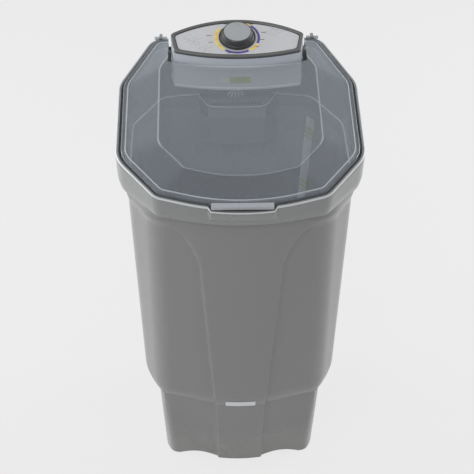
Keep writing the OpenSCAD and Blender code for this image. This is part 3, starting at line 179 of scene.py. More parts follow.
@dataclass(frozen=True)
class Plan:
    """Plan outline with a bowed front, cut corners and a nearly straight rear.

    The outline has one arc across its front, a cut at each front corner, a side, a cut at each rear
    corner and a flat arc across its rear. Every corner is an arc tangent to its two neighbours, and
    radii and cuts scale with the half width.
    """

    # Half width, and how far the outline reaches in front of the axis and behind it
    half: float
    front: float
    rear: float

    # Half angles of the front arc and of the rear arc, in degrees
    front_a: float = 17.5
    rear_a: float = 2.0

    # What each corner's cut takes off the width and off the depth, and the front corner's radius
    cut_x: float = 88.0
    cut_y: float = 158.0
    rear_cut_x: float = 75.0
    rear_cut_y: float = 172.0
    bend: float = 45.0

    # Half width that the radii and cuts are given for, and the radii that every plan shares
    full_half: ClassVar[float] = 275.0
    bow_r: ClassVar[float] = 430.0
    side_r: ClassVar[float] = 90.0
    rear_r: ClassVar[float] = 45.0

    # Points on the front arc, a corner, a side's end, the rear arc, and the straight runs between them
    bow_points: ClassVar[int] = 28
    corner_points: ClassVar[int] = 14
    side_points: ClassVar[int] = 12
    rear_points: ClassVar[int] = 5
    run_points: ClassVar[int] = 10
    rear_run_points: ClassVar[int] = 16

    def toward(self, other: "Plan", t: float) -> "Plan":
        """Plan whose every size lies between this one's and the other's, at the share t."""
        return Plan(*(mix(a, b, t) for a, b in zip(astuple(self), astuple(other))))

    @staticmethod
    def _unit(v: np.ndarray) -> np.ndarray:
        """The vector scaled to length one."""
        return v / np.linalg.norm(v)

    def _corner(self, p: np.ndarray, c: np.ndarray, q: np.ndarray, r: float, n: int) -> np.ndarray:
        """Arc tangent to the lines from a corner to its two neighbours.

        Args:
            p: neighbour before the corner.
            c: the corner.
            q: neighbour after the corner.
            r: the arc's radius.
            n: number of points.

        Returns:
            Rows of x, y and the outward normal's two parts.
        """
        u, v = self._unit(p - c), self._unit(q - c)
        half = math.acos(float(np.clip(u @ v, -1, 1))) / 2
        m = c + self._unit(u + v) * r / math.sin(half)
        a = c + u * r / math.tan(half) - m
        b = c + v * r / math.tan(half) - m
        start = math.atan2(a[1], a[0])
        turn = (math.atan2(b[1], b[0]) - start + 3 * math.pi) % TURN - math.pi
        w = start + turn * np.linspace(0, 1, n)
        return np.stack([m[0] + r * np.cos(w), m[1] + r * np.sin(w), np.cos(w), np.sin(w)], 1)

    def _bow(self, corner_y: float, radius: float, angle: float) -> np.ndarray:
        """Arc across the front, with its points closer together round the finger pocket's ends.

        Args:
            corner_y: y where the tangents of the arc's two ends meet.
            radius: the arc's radius.
            angle: its half angle in radians.

        Returns:
            Rows of x, y and the outward normal's two parts.
        """
        end = radius * math.sin(angle)
        xs = np.concatenate([np.linspace(0, 58, 10), np.linspace(61, 79, 13), [86, 95, 105, 115]])
        xs = np.append(xs[xs < end - 2], end)
        if len(xs) != self.bow_points:
            xs = np.interp(np.linspace(0, 1, self.bow_points), np.linspace(0, 1, len(xs)), xs)
        phi = np.arcsin(xs / radius)
        middle = corner_y + radius / math.cos(angle)
        return np.stack([radius * np.sin(phi), middle - radius * np.cos(phi), np.sin(phi), -np.cos(phi)], 1)

    def half_outline(self) -> np.ndarray:
        """Right half from the middle of the front to the middle of the rear.

        Returns:
            Rows of x, y and the outward normal's two parts, with the same count for every plan.
        """
        k = self.half / self.full_half
        bow, side = self.bow_r * k, self.side_r * k
        fa, ra = math.radians(self.front_a), math.radians(self.rear_a)
        f0 = np.array([0.0, -self.front - bow * (1 / math.cos(fa) - 1)])
        b0 = np.array([0.0, self.rear + bow * (1 / math.cos(ra) - 1)])
        fx, bx = self.half - self.cut_x * k, self.half - self.rear_cut_x * k
        f1 = np.array([fx, f0[1] + fx * math.tan(fa)])
        b1 = np.array([bx, b0[1] - bx * math.tan(ra)])
        s1 = np.array([self.half, -self.front + self.cut_y * k])
        s2 = np.array([self.half, self.rear - self.rear_cut_y * k])
        psi = np.linspace(ra, 0, self.rear_points)
        middle = b0[1] - bow / math.cos(ra)
        rear = np.stack([bow * np.sin(psi), middle + bow * np.cos(psi), np.sin(psi), np.cos(psi)], 1)
        arcs = [self._bow(f0[1], bow, fa),
                self._corner(f0, f1, s1, self.bend * k, self.corner_points),
                self._corner(f1, s1, s2, side, self.side_points),
                self._corner(s1, s2, b1, side, self.side_points),
                self._corner(s2, b1, b0, self.rear_r * k, self.corner_points), rear]
        parts = [arcs[0]]
        for arc in arcs[1:]:
            a, b = parts[-1][-1], arc[0]
            t = np.linspace(0, 1, self.run_points)[1:-1]
            if arc is rear:
                t = self._rear_run(a[0], b[0])
            parts += [a + (b - a) * t[:, None], arc]
        return np.concatenate(parts)

    def _rear_run(self, start_x: float, end_x: float) -> np.ndarray:
        """Shares along the rear's straight run, with two close points where the console's notch ends.

        Args:
            start_x: x where the run starts.
            end_x: x where it ends, nearer the middle.

        Returns:
            Shares from 0 to 1, in order.
        """
        notch = min(max((start_x - S.notch_half) / (start_x - end_x), 0.004), 0.996)
        even = np.linspace(0, 1, self.rear_run_points)[1:-1]
        return np.sort(np.concatenate([even, [notch - 0.002, notch + 0.002]]))

    def ring(self, inset: float = 0.0) -> np.ndarray:
        """Whole outline moved inwards by inset along its normals, counter-clockwise from the front."""
        return mirrored(self.half_outline(), inset)


def mirrored(half: np.ndarray, inset: float = 0.0) -> np.ndarray:
    """Closed outline from its right half.

    Args:
        half: rows of x, y and normal, from the front's middle to the rear's middle.
        inset: distance moved inwards along the normals.

    Returns:
        Rows of x and y.
    """
    right = half[:, :2] - inset * half[:, 2:]
    right[[0, -1], 0] = 0.0
    left = right[-2:0:-1] * np.array([-1.0, 1.0])
    return np.concatenate([right, left])


# Plans of the rim with all that follows it, of the tub's mouth, and of the tub just above its floor
RIM = Plan(S.rim_half, S.rim_front, S.rim_rear)
MOUTH = Plan(243.0, 248.0, 252.0, rear_a=9.0)
LOW = Plan(192.0, 200.0, 200.0, rear_a=9.0)


def level(ring: np.ndarray, z: float) -> np.ndarray:
    """The plan ring at one height."""
    return np.column_stack([ring, np.full(len(ring), z)])


def sloped(ring: np.ndarray, up: float) -> np.ndarray:
    """The plan ring on the rim's sloping plane, raised by up."""
    return np.column_stack([ring, S.rim_z(ring[:, 1]) + up])


def circle_like(ring: np.ndarray, radius: float) -> np.ndarray:
    """The ring's points pushed along their own directions on to a circle."""
    return ring * (radius / np.linalg.norm(ring, axis=1))[:, None]


def notched(rings: Rings, high: float) -> Rings:
    """Rings lowered to the height high at the rear, where the console stands.

    Args:
        rings: stack of rings.
        high: the height that the rear is held to.

    Returns:
        A new stack.
    """
    out = rings.copy()
    rear = (out[..., 1] > S.notch_y) & (np.abs(out[..., 0]) < S.notch_half)
    out[..., 2] = np.where(rear, np.minimum(out[..., 2], high), out[..., 2])
    return out


def across_line(line: np.ndarray) -> np.ndarray:
    """Unit vectors to the left of a flat line at each of its points.

    Args:
        line: rows of x and y.

    Returns:
        Rows of x and y, one for each point.
    """
    d = np.gradient(line, axis=0)
    d /= np.linalg.norm(d, axis=1)[:, None]
    return np.column_stack([-d[:, 1], d[:, 0]])


# Surfaces from rings


def fillet(rings: Sequence[np.ndarray], radii: Sequence[float], closed: bool, steps: int = 5) -> Rings:
    """Rounds a stack of rings across its profile.

    At ring i, each point becomes a quadratic curve: it starts radius i before the point towards the
    ring before, has the point as its control, and ends radius i past it towards the next ring. A
    radius is held to a little under half of the way to its neighbours.

    Args:
        rings: rings of equal counts.
        radii: one radius for each ring; 0 keeps the ring as it is.
        closed: whether the last ring joins the first.
        steps: points on each curve.

    Returns:
        The stack with more rings.
    """
    most = 0.45
    tiny = 1e-9
    r = np.stack(rings)
    out: List[np.ndarray] = []
    t = np.linspace(0, 1, steps)[:, None, None]
    for i in range(len(r)):
        end = not closed and i in (0, len(r) - 1)
        if radii[i] <= 0 or end:
            out.append(r[i][None])
            continue
        before, after = r[i - 1] - r[i], r[(i + 1) % len(r)] - r[i]
        lb = np.linalg.norm(before, axis=1, keepdims=True) + tiny
        la = np.linalg.norm(after, axis=1, keepdims=True) + tiny
        a = r[i] + before / lb * np.minimum(radii[i], most * lb)
        b = r[i] + after / la * np.minimum(radii[i], most * la)
        out.append(curve(a, r[i], b, t))
    return np.concatenate(out)


def followed(plan: Plan, place: Callable[[np.ndarray, float], np.ndarray], profile: Profile,
             steps: int = 4) -> Rings:
    """Rounded closed profile that follows a plan.

    Args:
        plan: the plan outline.
        place: level or sloped, which turns a ring and a height into points.
        profile: an inset from the plan, a height and a rounding radius for each corner.
        steps: points on each rounding.

    Returns:
        The stack of rings.
    """
    rings = [place(plan.ring(inset), up) for inset, up, _ in profile]
    return fillet(rings, [radius for _, _, radius in profile], True, steps)


def skin(name: str, rings: Rings, closed: bool = False, sharp: float = 32.0) -> bpy.types.Object:
    """Mesh over a stack of rings: quads between neighbours, and a fan over each end unless closed.

    Args:
        name: the object's name.
        rings: array of ring, point and coordinate, in millimetres.
        closed: whether the last ring joins the first.
        sharp: angle in degrees past which an edge stays sharp.

    Returns:
        The new object, with its faces outwards.
    """
    m, n = rings.shape[:2]
    verts = rings.reshape(-1, 3)
    i = np.arange(m if closed else m - 1)[:, None]
    j = np.arange(n)[None, :]
    a, b, k = i * n, ((i + 1) % m) * n, (j + 1) % n
    quads = np.stack([a + j, b + j, b + k, a + k], -1).reshape(-1, 4)
    tris = np.zeros((0, 3), int)
    if not closed:
        verts = np.concatenate([verts, rings[0].mean(0)[None], rings[-1].mean(0)[None]])
        first, last = m * n, m * n + 1
        j = np.arange(n)
        k = (j + 1) % n
        top = (m - 1) * n
        tris = np.concatenate([np.stack([j, k, np.full(n, first)], 1),
                               np.stack([top + k, top + j, np.full(n, last)], 1)])
    return build(name, verts, quads, tris, sharp)


def build(name: str, verts: np.ndarray, quads: np.ndarray, tris: Optional[np.ndarray] = None,
          sharp: float = 32.0) -> bpy.types.Object:
    """Object from arrays, turned outwards by the sign of its volume.

    Args:
        name: the object's name.
        verts: points in millimetres.
        quads: four indices a face.
        tris: three indices a face.
        sharp: angle in degrees past which an edge stays sharp.

    Returns:
        The new object, at the origin.
    """
    tris = np.zeros((0, 3), int) if tris is None else tris
    fan = np.concatenate([quads[:, [0, 1, 2]], quads[:, [0, 2, 3]], tris])
    p = verts[fan]
    volume = np.einsum("ij,ij->i", p[:, 0], np.cross(p[:, 1], p[:, 2])).sum()
    if volume < 0:
        quads, tris = quads[:, ::-1], tris[:, ::-1]
    mesh = bpy.data.meshes.new(name)
    mesh.vertices.add(len(verts))
    mesh.vertices.foreach_set("co", (verts * MM).astype(np.float32).ravel())
    corners = np.concatenate([quads.ravel(), tris.ravel()]).astype(np.int32)
    sizes = np.concatenate([np.full(len(quads), 4), np.full(len(tris), 3)]).astype(np.int32)
    mesh.loops.add(len(corners))
    mesh.loops.foreach_set("vertex_index", corners)
    mesh.polygons.add(len(sizes))
    mesh.polygons.foreach_set("loop_start", (np.cumsum(sizes) - sizes).astype(np.int32))
    mesh.polygons.foreach_set("loop_total", sizes)
    mesh.update(calc_edges=True)
    mesh.validate()
    mesh.shade_smooth()
    mesh.set_sharp_from_angle(angle=math.radians(sharp))
    obj = bpy.data.objects.new(name, mesh)
    bpy.context.scene.collection.objects.link(obj)
    return obj


def block(name: str, low: Sequence[float], high: Sequence[float]) -> bpy.types.Object:
    """Closed box between two corners, in millimetres, as a loft of its lower and upper outline.

    Args:
        name: the object's name.
        low: the lower corner.
        high: the upper corner.

    Returns:
        The new object.
    """
    x0, y0, z0 = low
    x1, y1, z1 = high
    outline = np.array([[x0, y0], [x1, y0], [x1, y1], [x0, y1]])
    return skin(name, np.stack([level(outline, z0), level(outline, z1)]))


def revolved(name: str, profile: Sequence[Tuple[float, float]], centre: Sequence[float] = (0, 0, 0),
             count: int = 64, closed: bool = False) -> bpy.types.Object:
    """Surface of revolution about a vertical axis: each profile point of radius and height gives a circle.

    Args:
        name: the object's name.
        profile: pairs of radius and height, in millimetres.
        centre: point that the axis passes through; heights count from it.
        count: points on each circle.
        closed: whether the profile closes on itself.

    Returns:
        The new object.
    """
    w = circle(count)
    pr = np.array(profile, float)
    rings = np.stack([np.outer(pr[:, 0], np.cos(w)) + centre[0], np.outer(pr[:, 0], np.sin(w)) + centre[1],
                      np.repeat(pr[:, 1:] + centre[2], count, 1)], -1)
    return skin(name, rings, closed)


def carve(obj: bpy.types.Object, cutters: Sequence[bpy.types.Object],
          sharp: float = 32.0) -> bpy.types.Object:
    """Cuts the cutters out of an object, applies the cuts and removes the cutters.

    Args:
        obj: the object to cut.
        cutters: closed objects.
        sharp: angle in degrees past which an edge stays sharp.

    Returns:
        The same object with its new mesh.
    """
    for c in cutters:
        mod = obj.modifiers.new("cut", "BOOLEAN")
        mod.operation = "DIFFERENCE"
        mod.solver = "MANIFOLD"
        mod.object = c
    graph = bpy.context.evaluated_depsgraph_get()
    mesh = bpy.data.meshes.new_from_object(obj.evaluated_get(graph))
    obj.modifiers.clear()
    obj.data = mesh
    for c in cutters:
        bpy.data.objects.remove(c)
    mesh.shade_smooth()
    mesh.set_sharp_from_angle(angle=math.radians(sharp))
    return obj


def turned_x(name: str, profile: Sequence[Tuple[float, float]], y: float, z: float, closed: bool = False,
             count: int = 40) -> bpy.types.Object:
    """Surface of revolution about an axis along X: each profile point of x and radius gives a circle.

    Args:
        name: the object's name.
        profile: pairs of x and radius, in millimetres.
        y: the axis's y.
        z: the axis's height.
        closed: whether the profile closes on itself.
        count: points on each circle.

    Returns:
        The new object.
    """
    w = circle(count)
    rings = [np.column_stack([np.full(count, x), y + r * np.cos(w), z + r * np.sin(w)]) for x, r in profile]
    return skin(name, np.stack(rings), closed)


def cylinder_z(name: str, x: float, y: float, z0: float, z1: float, r: float) -> bpy.types.Object:
    """Closed upright cylinder."""
    return revolved(name, [(r, z0), (r, z1)], (x, y, 0))


# Finishes


class Kind(Enum):
    """Families of finish: brushed ones have a node group of their own, clear ones let light through."""

    MOULDED = "moulded"
    BRUSHED = "brushed"
    CLEAR = "clear"


def new_group(name: str, inputs: Sequence[Tuple[str, str, object]],
              outputs: Sequence[Tuple[str, str]]) -> bpy.types.NodeTree:
    """Shader group with its sockets and nothing between them.

    Args:
        name: the group's name.
        inputs: name, socket kind and default of each input.
        outputs: name and socket kind of each output.

    Returns:
        The group, with one node for its inputs and one for its outputs.
    """
    tree = bpy.data.node_groups.new(name, "ShaderNodeTree")
    for label, kind, value in inputs:
        sock = tree.interface.new_socket(name=label, in_out="INPUT", socket_type=kind)
        sock.default_value = value
    for label, kind in outputs:
        tree.interface.new_socket(name=label, in_out="OUTPUT", socket_type=kind)
    tree.nodes.new("NodeGroupInput").name = "in"
    tree.nodes.new("NodeGroupOutput").name = "out"
    return tree


def join(tree: bpy.types.NodeTree, source: bpy.types.NodeSocket, target: bpy.types.NodeSocket) -> None:
    """Links two sockets."""
    tree.links.new(source, target)


def mixed(tree: bpy.types.NodeTree, share: bpy.types.NodeSocket, first: object,
          second: object) -> bpy.types.NodeSocket:
    """Colour between two colours at the share that a socket gives.

    Args:
        tree: the tree that gets the node.
        share: 0 for the first colour, 1 for the second.
        first: socket, or the colour's four values.
        second: socket, or the colour's four values.

    Returns:
        The socket of the result.
    """
    colour_a, colour_b, colour_result = 6, 7, 2
    node = tree.nodes.new("ShaderNodeMix")
    node.data_type = "RGBA"
    join(tree, share, node.inputs[0])
    for i, value in ((colour_a, first), (colour_b, second)):
        if isinstance(value, bpy.types.NodeSocket):
            join(tree, value, node.inputs[i])
        else:
            node.inputs[i].default_value = value
    return node.outputs[colour_result]


def maths(tree: bpy.types.NodeTree, op: str, a: object, b: object, c: object = None) -> bpy.types.NodeSocket:
    """Result of a maths node whose operands are sockets or numbers.

    Args:
        tree: the tree that gets the node.
        op: name of the operation.
        a: first operand.
        b: second operand.
        c: third operand, where the operation has one.

    Returns:
        The socket of the result.
    """
    node = tree.nodes.new("ShaderNodeMath")
    node.operation = op
    for i, v in enumerate((a, b, c)):
        if isinstance(v, bpy.types.NodeSocket):
            tree.links.new(v, node.inputs[i])
        elif v is not None:
            node.inputs[i].default_value = v
    return node.outputs[0]


def noise(tree: bpy.types.NodeTree, vector: bpy.types.NodeSocket, detail: float,
          scale: float = 1.0) -> bpy.types.Node:
    """Noise texture node on a vector.

    Args:
        tree: the tree that gets the node.
        vector: where the noise is looked up.
        detail: number of finer layers.
        scale: fineness.

    Returns:
        The node.
    """
    node = tree.nodes.new("ShaderNodeTexNoise")
    node.inputs["Scale"].default_value = scale
    node.inputs["Detail"].default_value = detail
    join(tree, vector, node.inputs["Vector"])
    return node


def place_on_object(tree: bpy.types.NodeTree) -> bpy.types.NodeSocket:
    """Place of the shaded point in the object's own space."""
    return tree.nodes.new("ShaderNodeTexCoord").outputs["Object"]


def apart(tree: bpy.types.NodeTree, vector: bpy.types.NodeSocket) -> bpy.types.Node:
    """Node that splits a vector into X, Y and Z.

    Args:
        tree: the tree that gets the node.
        vector: the vector to split.

    Returns:
        The node.
    """
    node = tree.nodes.new("ShaderNodeSeparateXYZ")
    join(tree, vector, node.inputs[0])
    return node


def vector_maths(tree: bpy.types.NodeTree, op: str, first: bpy.types.NodeSocket, second: bpy.types.NodeSocket,
                 slot: str | int) -> bpy.types.NodeSocket:
    """Result of a vector maths node whose second operand goes to the named or numbered input.

    Args:
        tree: the tree that gets the node.
        op: name of the operation.
        first: first operand.
        second: second operand.
        slot: the input that takes the second operand.

    Returns:
        The socket of the result.
    """
    node = tree.nodes.new("ShaderNodeVectorMath")
    node.operation = op
    join(tree, first, node.inputs[0])
    join(tree, second, node.inputs[slot])
    return node.outputs[0]


def bump(tree: bpy.types.NodeTree, strength: bpy.types.NodeSocket, height: bpy.types.NodeSocket,
         depth: float) -> bpy.types.NodeSocket:
    """Normal of a bump node whose full depth is given in metres.

    Args:
        tree: the tree that gets the node.
        strength: how much of the relief shows.
        height: the relief, from 0 to 1.
        depth: its full depth.

    Returns:
        The socket of the normal.
    """
    node = tree.nodes.new("ShaderNodeBump")
    node.inputs["Distance"].default_value = depth
    join(tree, strength, node.inputs["Strength"])
    join(tree, height, node.inputs["Height"])
    return node.outputs["Normal"]


@dataclass
class Effects:
    """Shader groups that several finishes share, built once."""

    skin_results: ClassVar[Tuple[Tuple[str, str], ...]] = (
        ("Colour", "NodeSocketColor"), ("Roughness", "NodeSocketFloat"), ("Normal", "NodeSocketVector"))

    # Moulded plastic: scale of its slow mottling, depth of its grain in metres, change of gloss
    mottle_scale: float = 7.0
    grain_depth: float = 0.0006
    mottle_gloss: float = 0.16

    # Brushed metal: depth of its scratches in metres, change of gloss and of brightness
    scratch_depth: float = 0.0003
    scratch_gloss: float = 0.22
    scratch_tone: float = 0.25

    # Dust: scale of its patches, how fast it fades with height in metres, its colour and its dulling
    dust_scale: float = 26.0
    dust_fade: float = -9.0
    dust_colour: Tuple[float, float, float, float] = (0.45, 0.44, 0.41, 1)
    dust_dulling: float = 0.5

    def __post_init__(self) -> None:
        """Builds every group."""
        self.moulded = self._moulded()
        self.brushed = self._brushed()
        self.settled = self._settled()

    def _moulded(self) -> bpy.types.NodeTree:
        """Moulded plastic: fine grain as bump, slow mottling of colour and roughness.

        Returns:
            The group.
        """
        t = new_group("MouldedSkin", [("Colour", "NodeSocketColor", (0.5, 0.5, 0.5, 1)),
                                      ("Mottle", "NodeSocketFloat", 0.06),
                                      ("Roughness", "NodeSocketFloat", 0.4),
                                      ("Grain", "NodeSocketFloat", 900.0),
                                      ("Relief", "NodeSocketFloat", 0.08)], self.skin_results)
        given, result = t.nodes["in"].outputs, t.nodes["out"].inputs
        at = place_on_object(t)
        slow = noise(t, at, 4.0, self.mottle_scale)
        fine = noise(t, at, 3.0)
        join(t, given["Grain"], fine.inputs["Scale"])
        shift = maths(t, "SUBTRACT", slow.outputs["Fac"], 0.5)
        gain = maths(t, "MULTIPLY_ADD", shift, given["Mottle"], 1.0)
        join(t, vector_maths(t, "SCALE", given["Colour"], gain, "Scale"), result["Colour"])
        join(t, maths(t, "MULTIPLY_ADD", shift, self.mottle_gloss, given["Roughness"]), result["Roughness"])
        join(t, bump(t, given["Relief"], fine.outputs["Fac"], self.grain_depth), result["Normal"])
        return t

    def _brushed(self) -> bpy.types.NodeTree:
        """Brushed metal: noise drawn out along one direction, for roughness, brightness and bump.

        Returns:
            The group.
        """
        t = new_group("BrushedMetal", [("Colour", "NodeSocketColor", (0.7, 0.7, 0.7, 1)),
                                       ("Roughness", "NodeSocketFloat", 0.3),
                                       ("Stretch", "NodeSocketVector", (40.0, 900.0, 900.0)),
                                       ("Relief", "NodeSocketFloat", 0.15)], self.skin_results)
        given, result = t.nodes["in"].outputs, t.nodes["out"].inputs
        stretched = vector_maths(t, "MULTIPLY", place_on_object(t), given["Stretch"], 1)
        scratches = noise(t, stretched, 4.0).outputs["Fac"]
        shift = maths(t, "SUBTRACT", scratches, 0.5)
        join(t, maths(t, "MULTIPLY_ADD", shift, self.scratch_gloss, given["Roughness"]), result["Roughness"])
        gain = maths(t, "MULTIPLY_ADD", shift, self.scratch_tone, 1.0)
        join(t, vector_maths(t, "SCALE", given["Colour"], gain, "Scale"), result["Colour"])
        join(t, bump(t, given["Relief"], scratches, self.scratch_depth), result["Normal"])
        return t

    def _settled(self) -> bpy.types.NodeTree:
        """Dust and dulling: a mask that grows on upward faces and towards the floor, broken by noise.

        Returns:
            The group.
        """
        t = new_group("SettledDust", [("Colour", "NodeSocketColor", (0.5, 0.5, 0.5, 1)),
                                      ("Roughness", "NodeSocketFloat", 0.4),
                                      ("Amount", "NodeSocketFloat", 0.1), ("Low", "NodeSocketFloat", 0.0)],
                      [("Colour", "NodeSocketColor"), ("Roughness", "NodeSocketFloat")])
        given, result = t.nodes["in"].outputs, t.nodes["out"].inputs
        at = place_on_object(t)
        facing = apart(t, t.nodes.new("ShaderNodeNewGeometry").outputs["Normal"])
        patches = noise(t, at, 5.0, self.dust_scale)
        up = maths(t, "MAXIMUM", facing.outputs["Z"], 0.0)
        near = maths(t, "MULTIPLY_ADD", apart(t, at).outputs["Z"], self.dust_fade, 1.0)
        low = maths(t, "MULTIPLY", maths(t, "MAXIMUM", near, 0.0), given["Low"])
        total = maths(t, "ADD", maths(t, "MULTIPLY", up, given["Amount"]), low)
        mask = maths(t, "MINIMUM", maths(t, "MULTIPLY", total, patches.outputs["Fac"]), 1.0)
        join(t, mixed(t, mask, given["Colour"], self.dust_colour), result["Colour"])
        join(t, maths(t, "MULTIPLY_ADD", mask, self.dust_dulling, given["Roughness"]), result["Roughness"])
        return t


@dataclass(frozen=True)
class Band:
    """Stretch of another colour between two places along an axis, in millimetres."""

    axis: str
    low: float
    high: float
    tint: Colour


@dataclass(frozen=True)
class Finish:
    """A surface finish: its colour, gloss and grain, and its bands, which are print on the labels and painted
    light and shade elsewhere.
    """

    name: str
    colour: Colour
    kind: Kind = Kind.MOULDED

    # Gloss: roughness, share of metal and weight of a clear coat, each from 0 to 1
    roughness: float = 0.35
    metallic: float = 0.0
    coat: float = 0.0

    # Skin: strength of its slow patches, fineness of its grain and strength of its relief
    mottle: float = 0.06
    grain: float = 900.0
    relief: float = 0.08

    # Dust on faces that look up, and towards the floor
    dust: float = 0.05
    low_dust: float = 0.0

    # Opacity seen straight on, fineness of the brushing along each axis, and the bands
    alpha: float = 1.0
    stretch: Tuple[float, float, float] = (40.0, 900.0, 900.0)
    bands: Tuple[Band, ...] = ()

    # Gloss of the clear coat, and how the opacity of a clear finish rises towards grazing angles
    coat_roughness: ClassVar[float] = 0.12
    haze_power: ClassVar[float] = 1.7
    haze_gain: ClassVar[float] = 0.72

    def material(self, effects: Effects) -> bpy.types.Material:
        """Material of this finish: the family's group, then dust, then the Principled shader.

        Args:
            effects: the shared groups.

        Returns:
            The material.
        """
        mat = bpy.data.materials.new(self.name)
        mat.use_nodes = True
        t = mat.node_tree
        shader = t.nodes["Principled BSDF"]
        shader.inputs["Metallic"].default_value = self.metallic
        shader.inputs["Coat Weight"].default_value = self.coat
        shader.inputs["Coat Roughness"].default_value = self.coat_roughness
        group = t.nodes.new("ShaderNodeGroup")
        if self.kind is Kind.BRUSHED:
            group.node_tree = effects.brushed
            group.inputs["Stretch"].default_value = self.stretch
        else:
            group.node_tree = effects.moulded
            group.inputs["Mottle"].default_value = self.mottle
            group.inputs["Grain"].default_value = self.grain
        group.inputs["Relief"].default_value = self.relief
        group.inputs["Roughness"].default_value = self.roughness
        group.inputs["Colour"].default_value = (*self.colour, 1)
        for band in self.bands:
            self._paint_band(t, group.inputs["Colour"], band)
        dust = t.nodes.new("ShaderNodeGroup")
        dust.node_tree = effects.settled
        dust.inputs["Amount"].default_value = self.dust
        dust.inputs["Low"].default_value = self.low_dust
        join(t, group.outputs["Colour"], dust.inputs["Colour"])
        join(t, group.outputs["Roughness"], dust.inputs["Roughness"])
        join(t, dust.outputs["Colour"], shader.inputs["Base Color"])
        join(t, dust.outputs["Roughness"], shader.inputs["Roughness"])
        join(t, group.outputs["Normal"], shader.inputs["Normal"])
        if self.kind is Kind.CLEAR:
            self._see_through(t, shader)
        return mat

    def _paint_band(self, t: bpy.types.NodeTree, target: bpy.types.NodeSocket, band: Band) -> None:
        """Paints one band over what already feeds the group's colour: print on the labels, painted light and
        painted shade on the rim, the console and the filter pocket.

        Args:
            t: the material's tree.
            target: the group's colour input.
            band: the band to print.
        """
        along = apart(t, place_on_object(t)).outputs[band.axis]
        over = maths(t, "GREATER_THAN", along, band.low * MM)
        under = maths(t, "LESS_THAN", along, band.high * MM)
        ground = target.links[0].from_socket if target.links else (*self.colour, 1)
        join(t, mixed(t, maths(t, "MULTIPLY", over, under), ground, (*band.tint, 1)), target)

    def _see_through(self, t: bpy.types.NodeTree, shader: bpy.types.Node) -> None:
        """Opacity that rises towards grazing angles, as on clear plastic with a faint haze.

        Args:
            t: the material's tree.
            shader: its Principled shader.
        """
        slant = t.nodes.new("ShaderNodeLayerWeight")
        slant.inputs["Blend"].default_value = 0.5
        steep = maths(t, "POWER", slant.outputs["Facing"], self.haze_power)
        opacity = maths(t, "MULTIPLY_ADD", steep, self.haze_gain, self.alpha)
        join(t, maths(t, "MINIMUM", opacity, 1.0), shader.inputs["Alpha"])


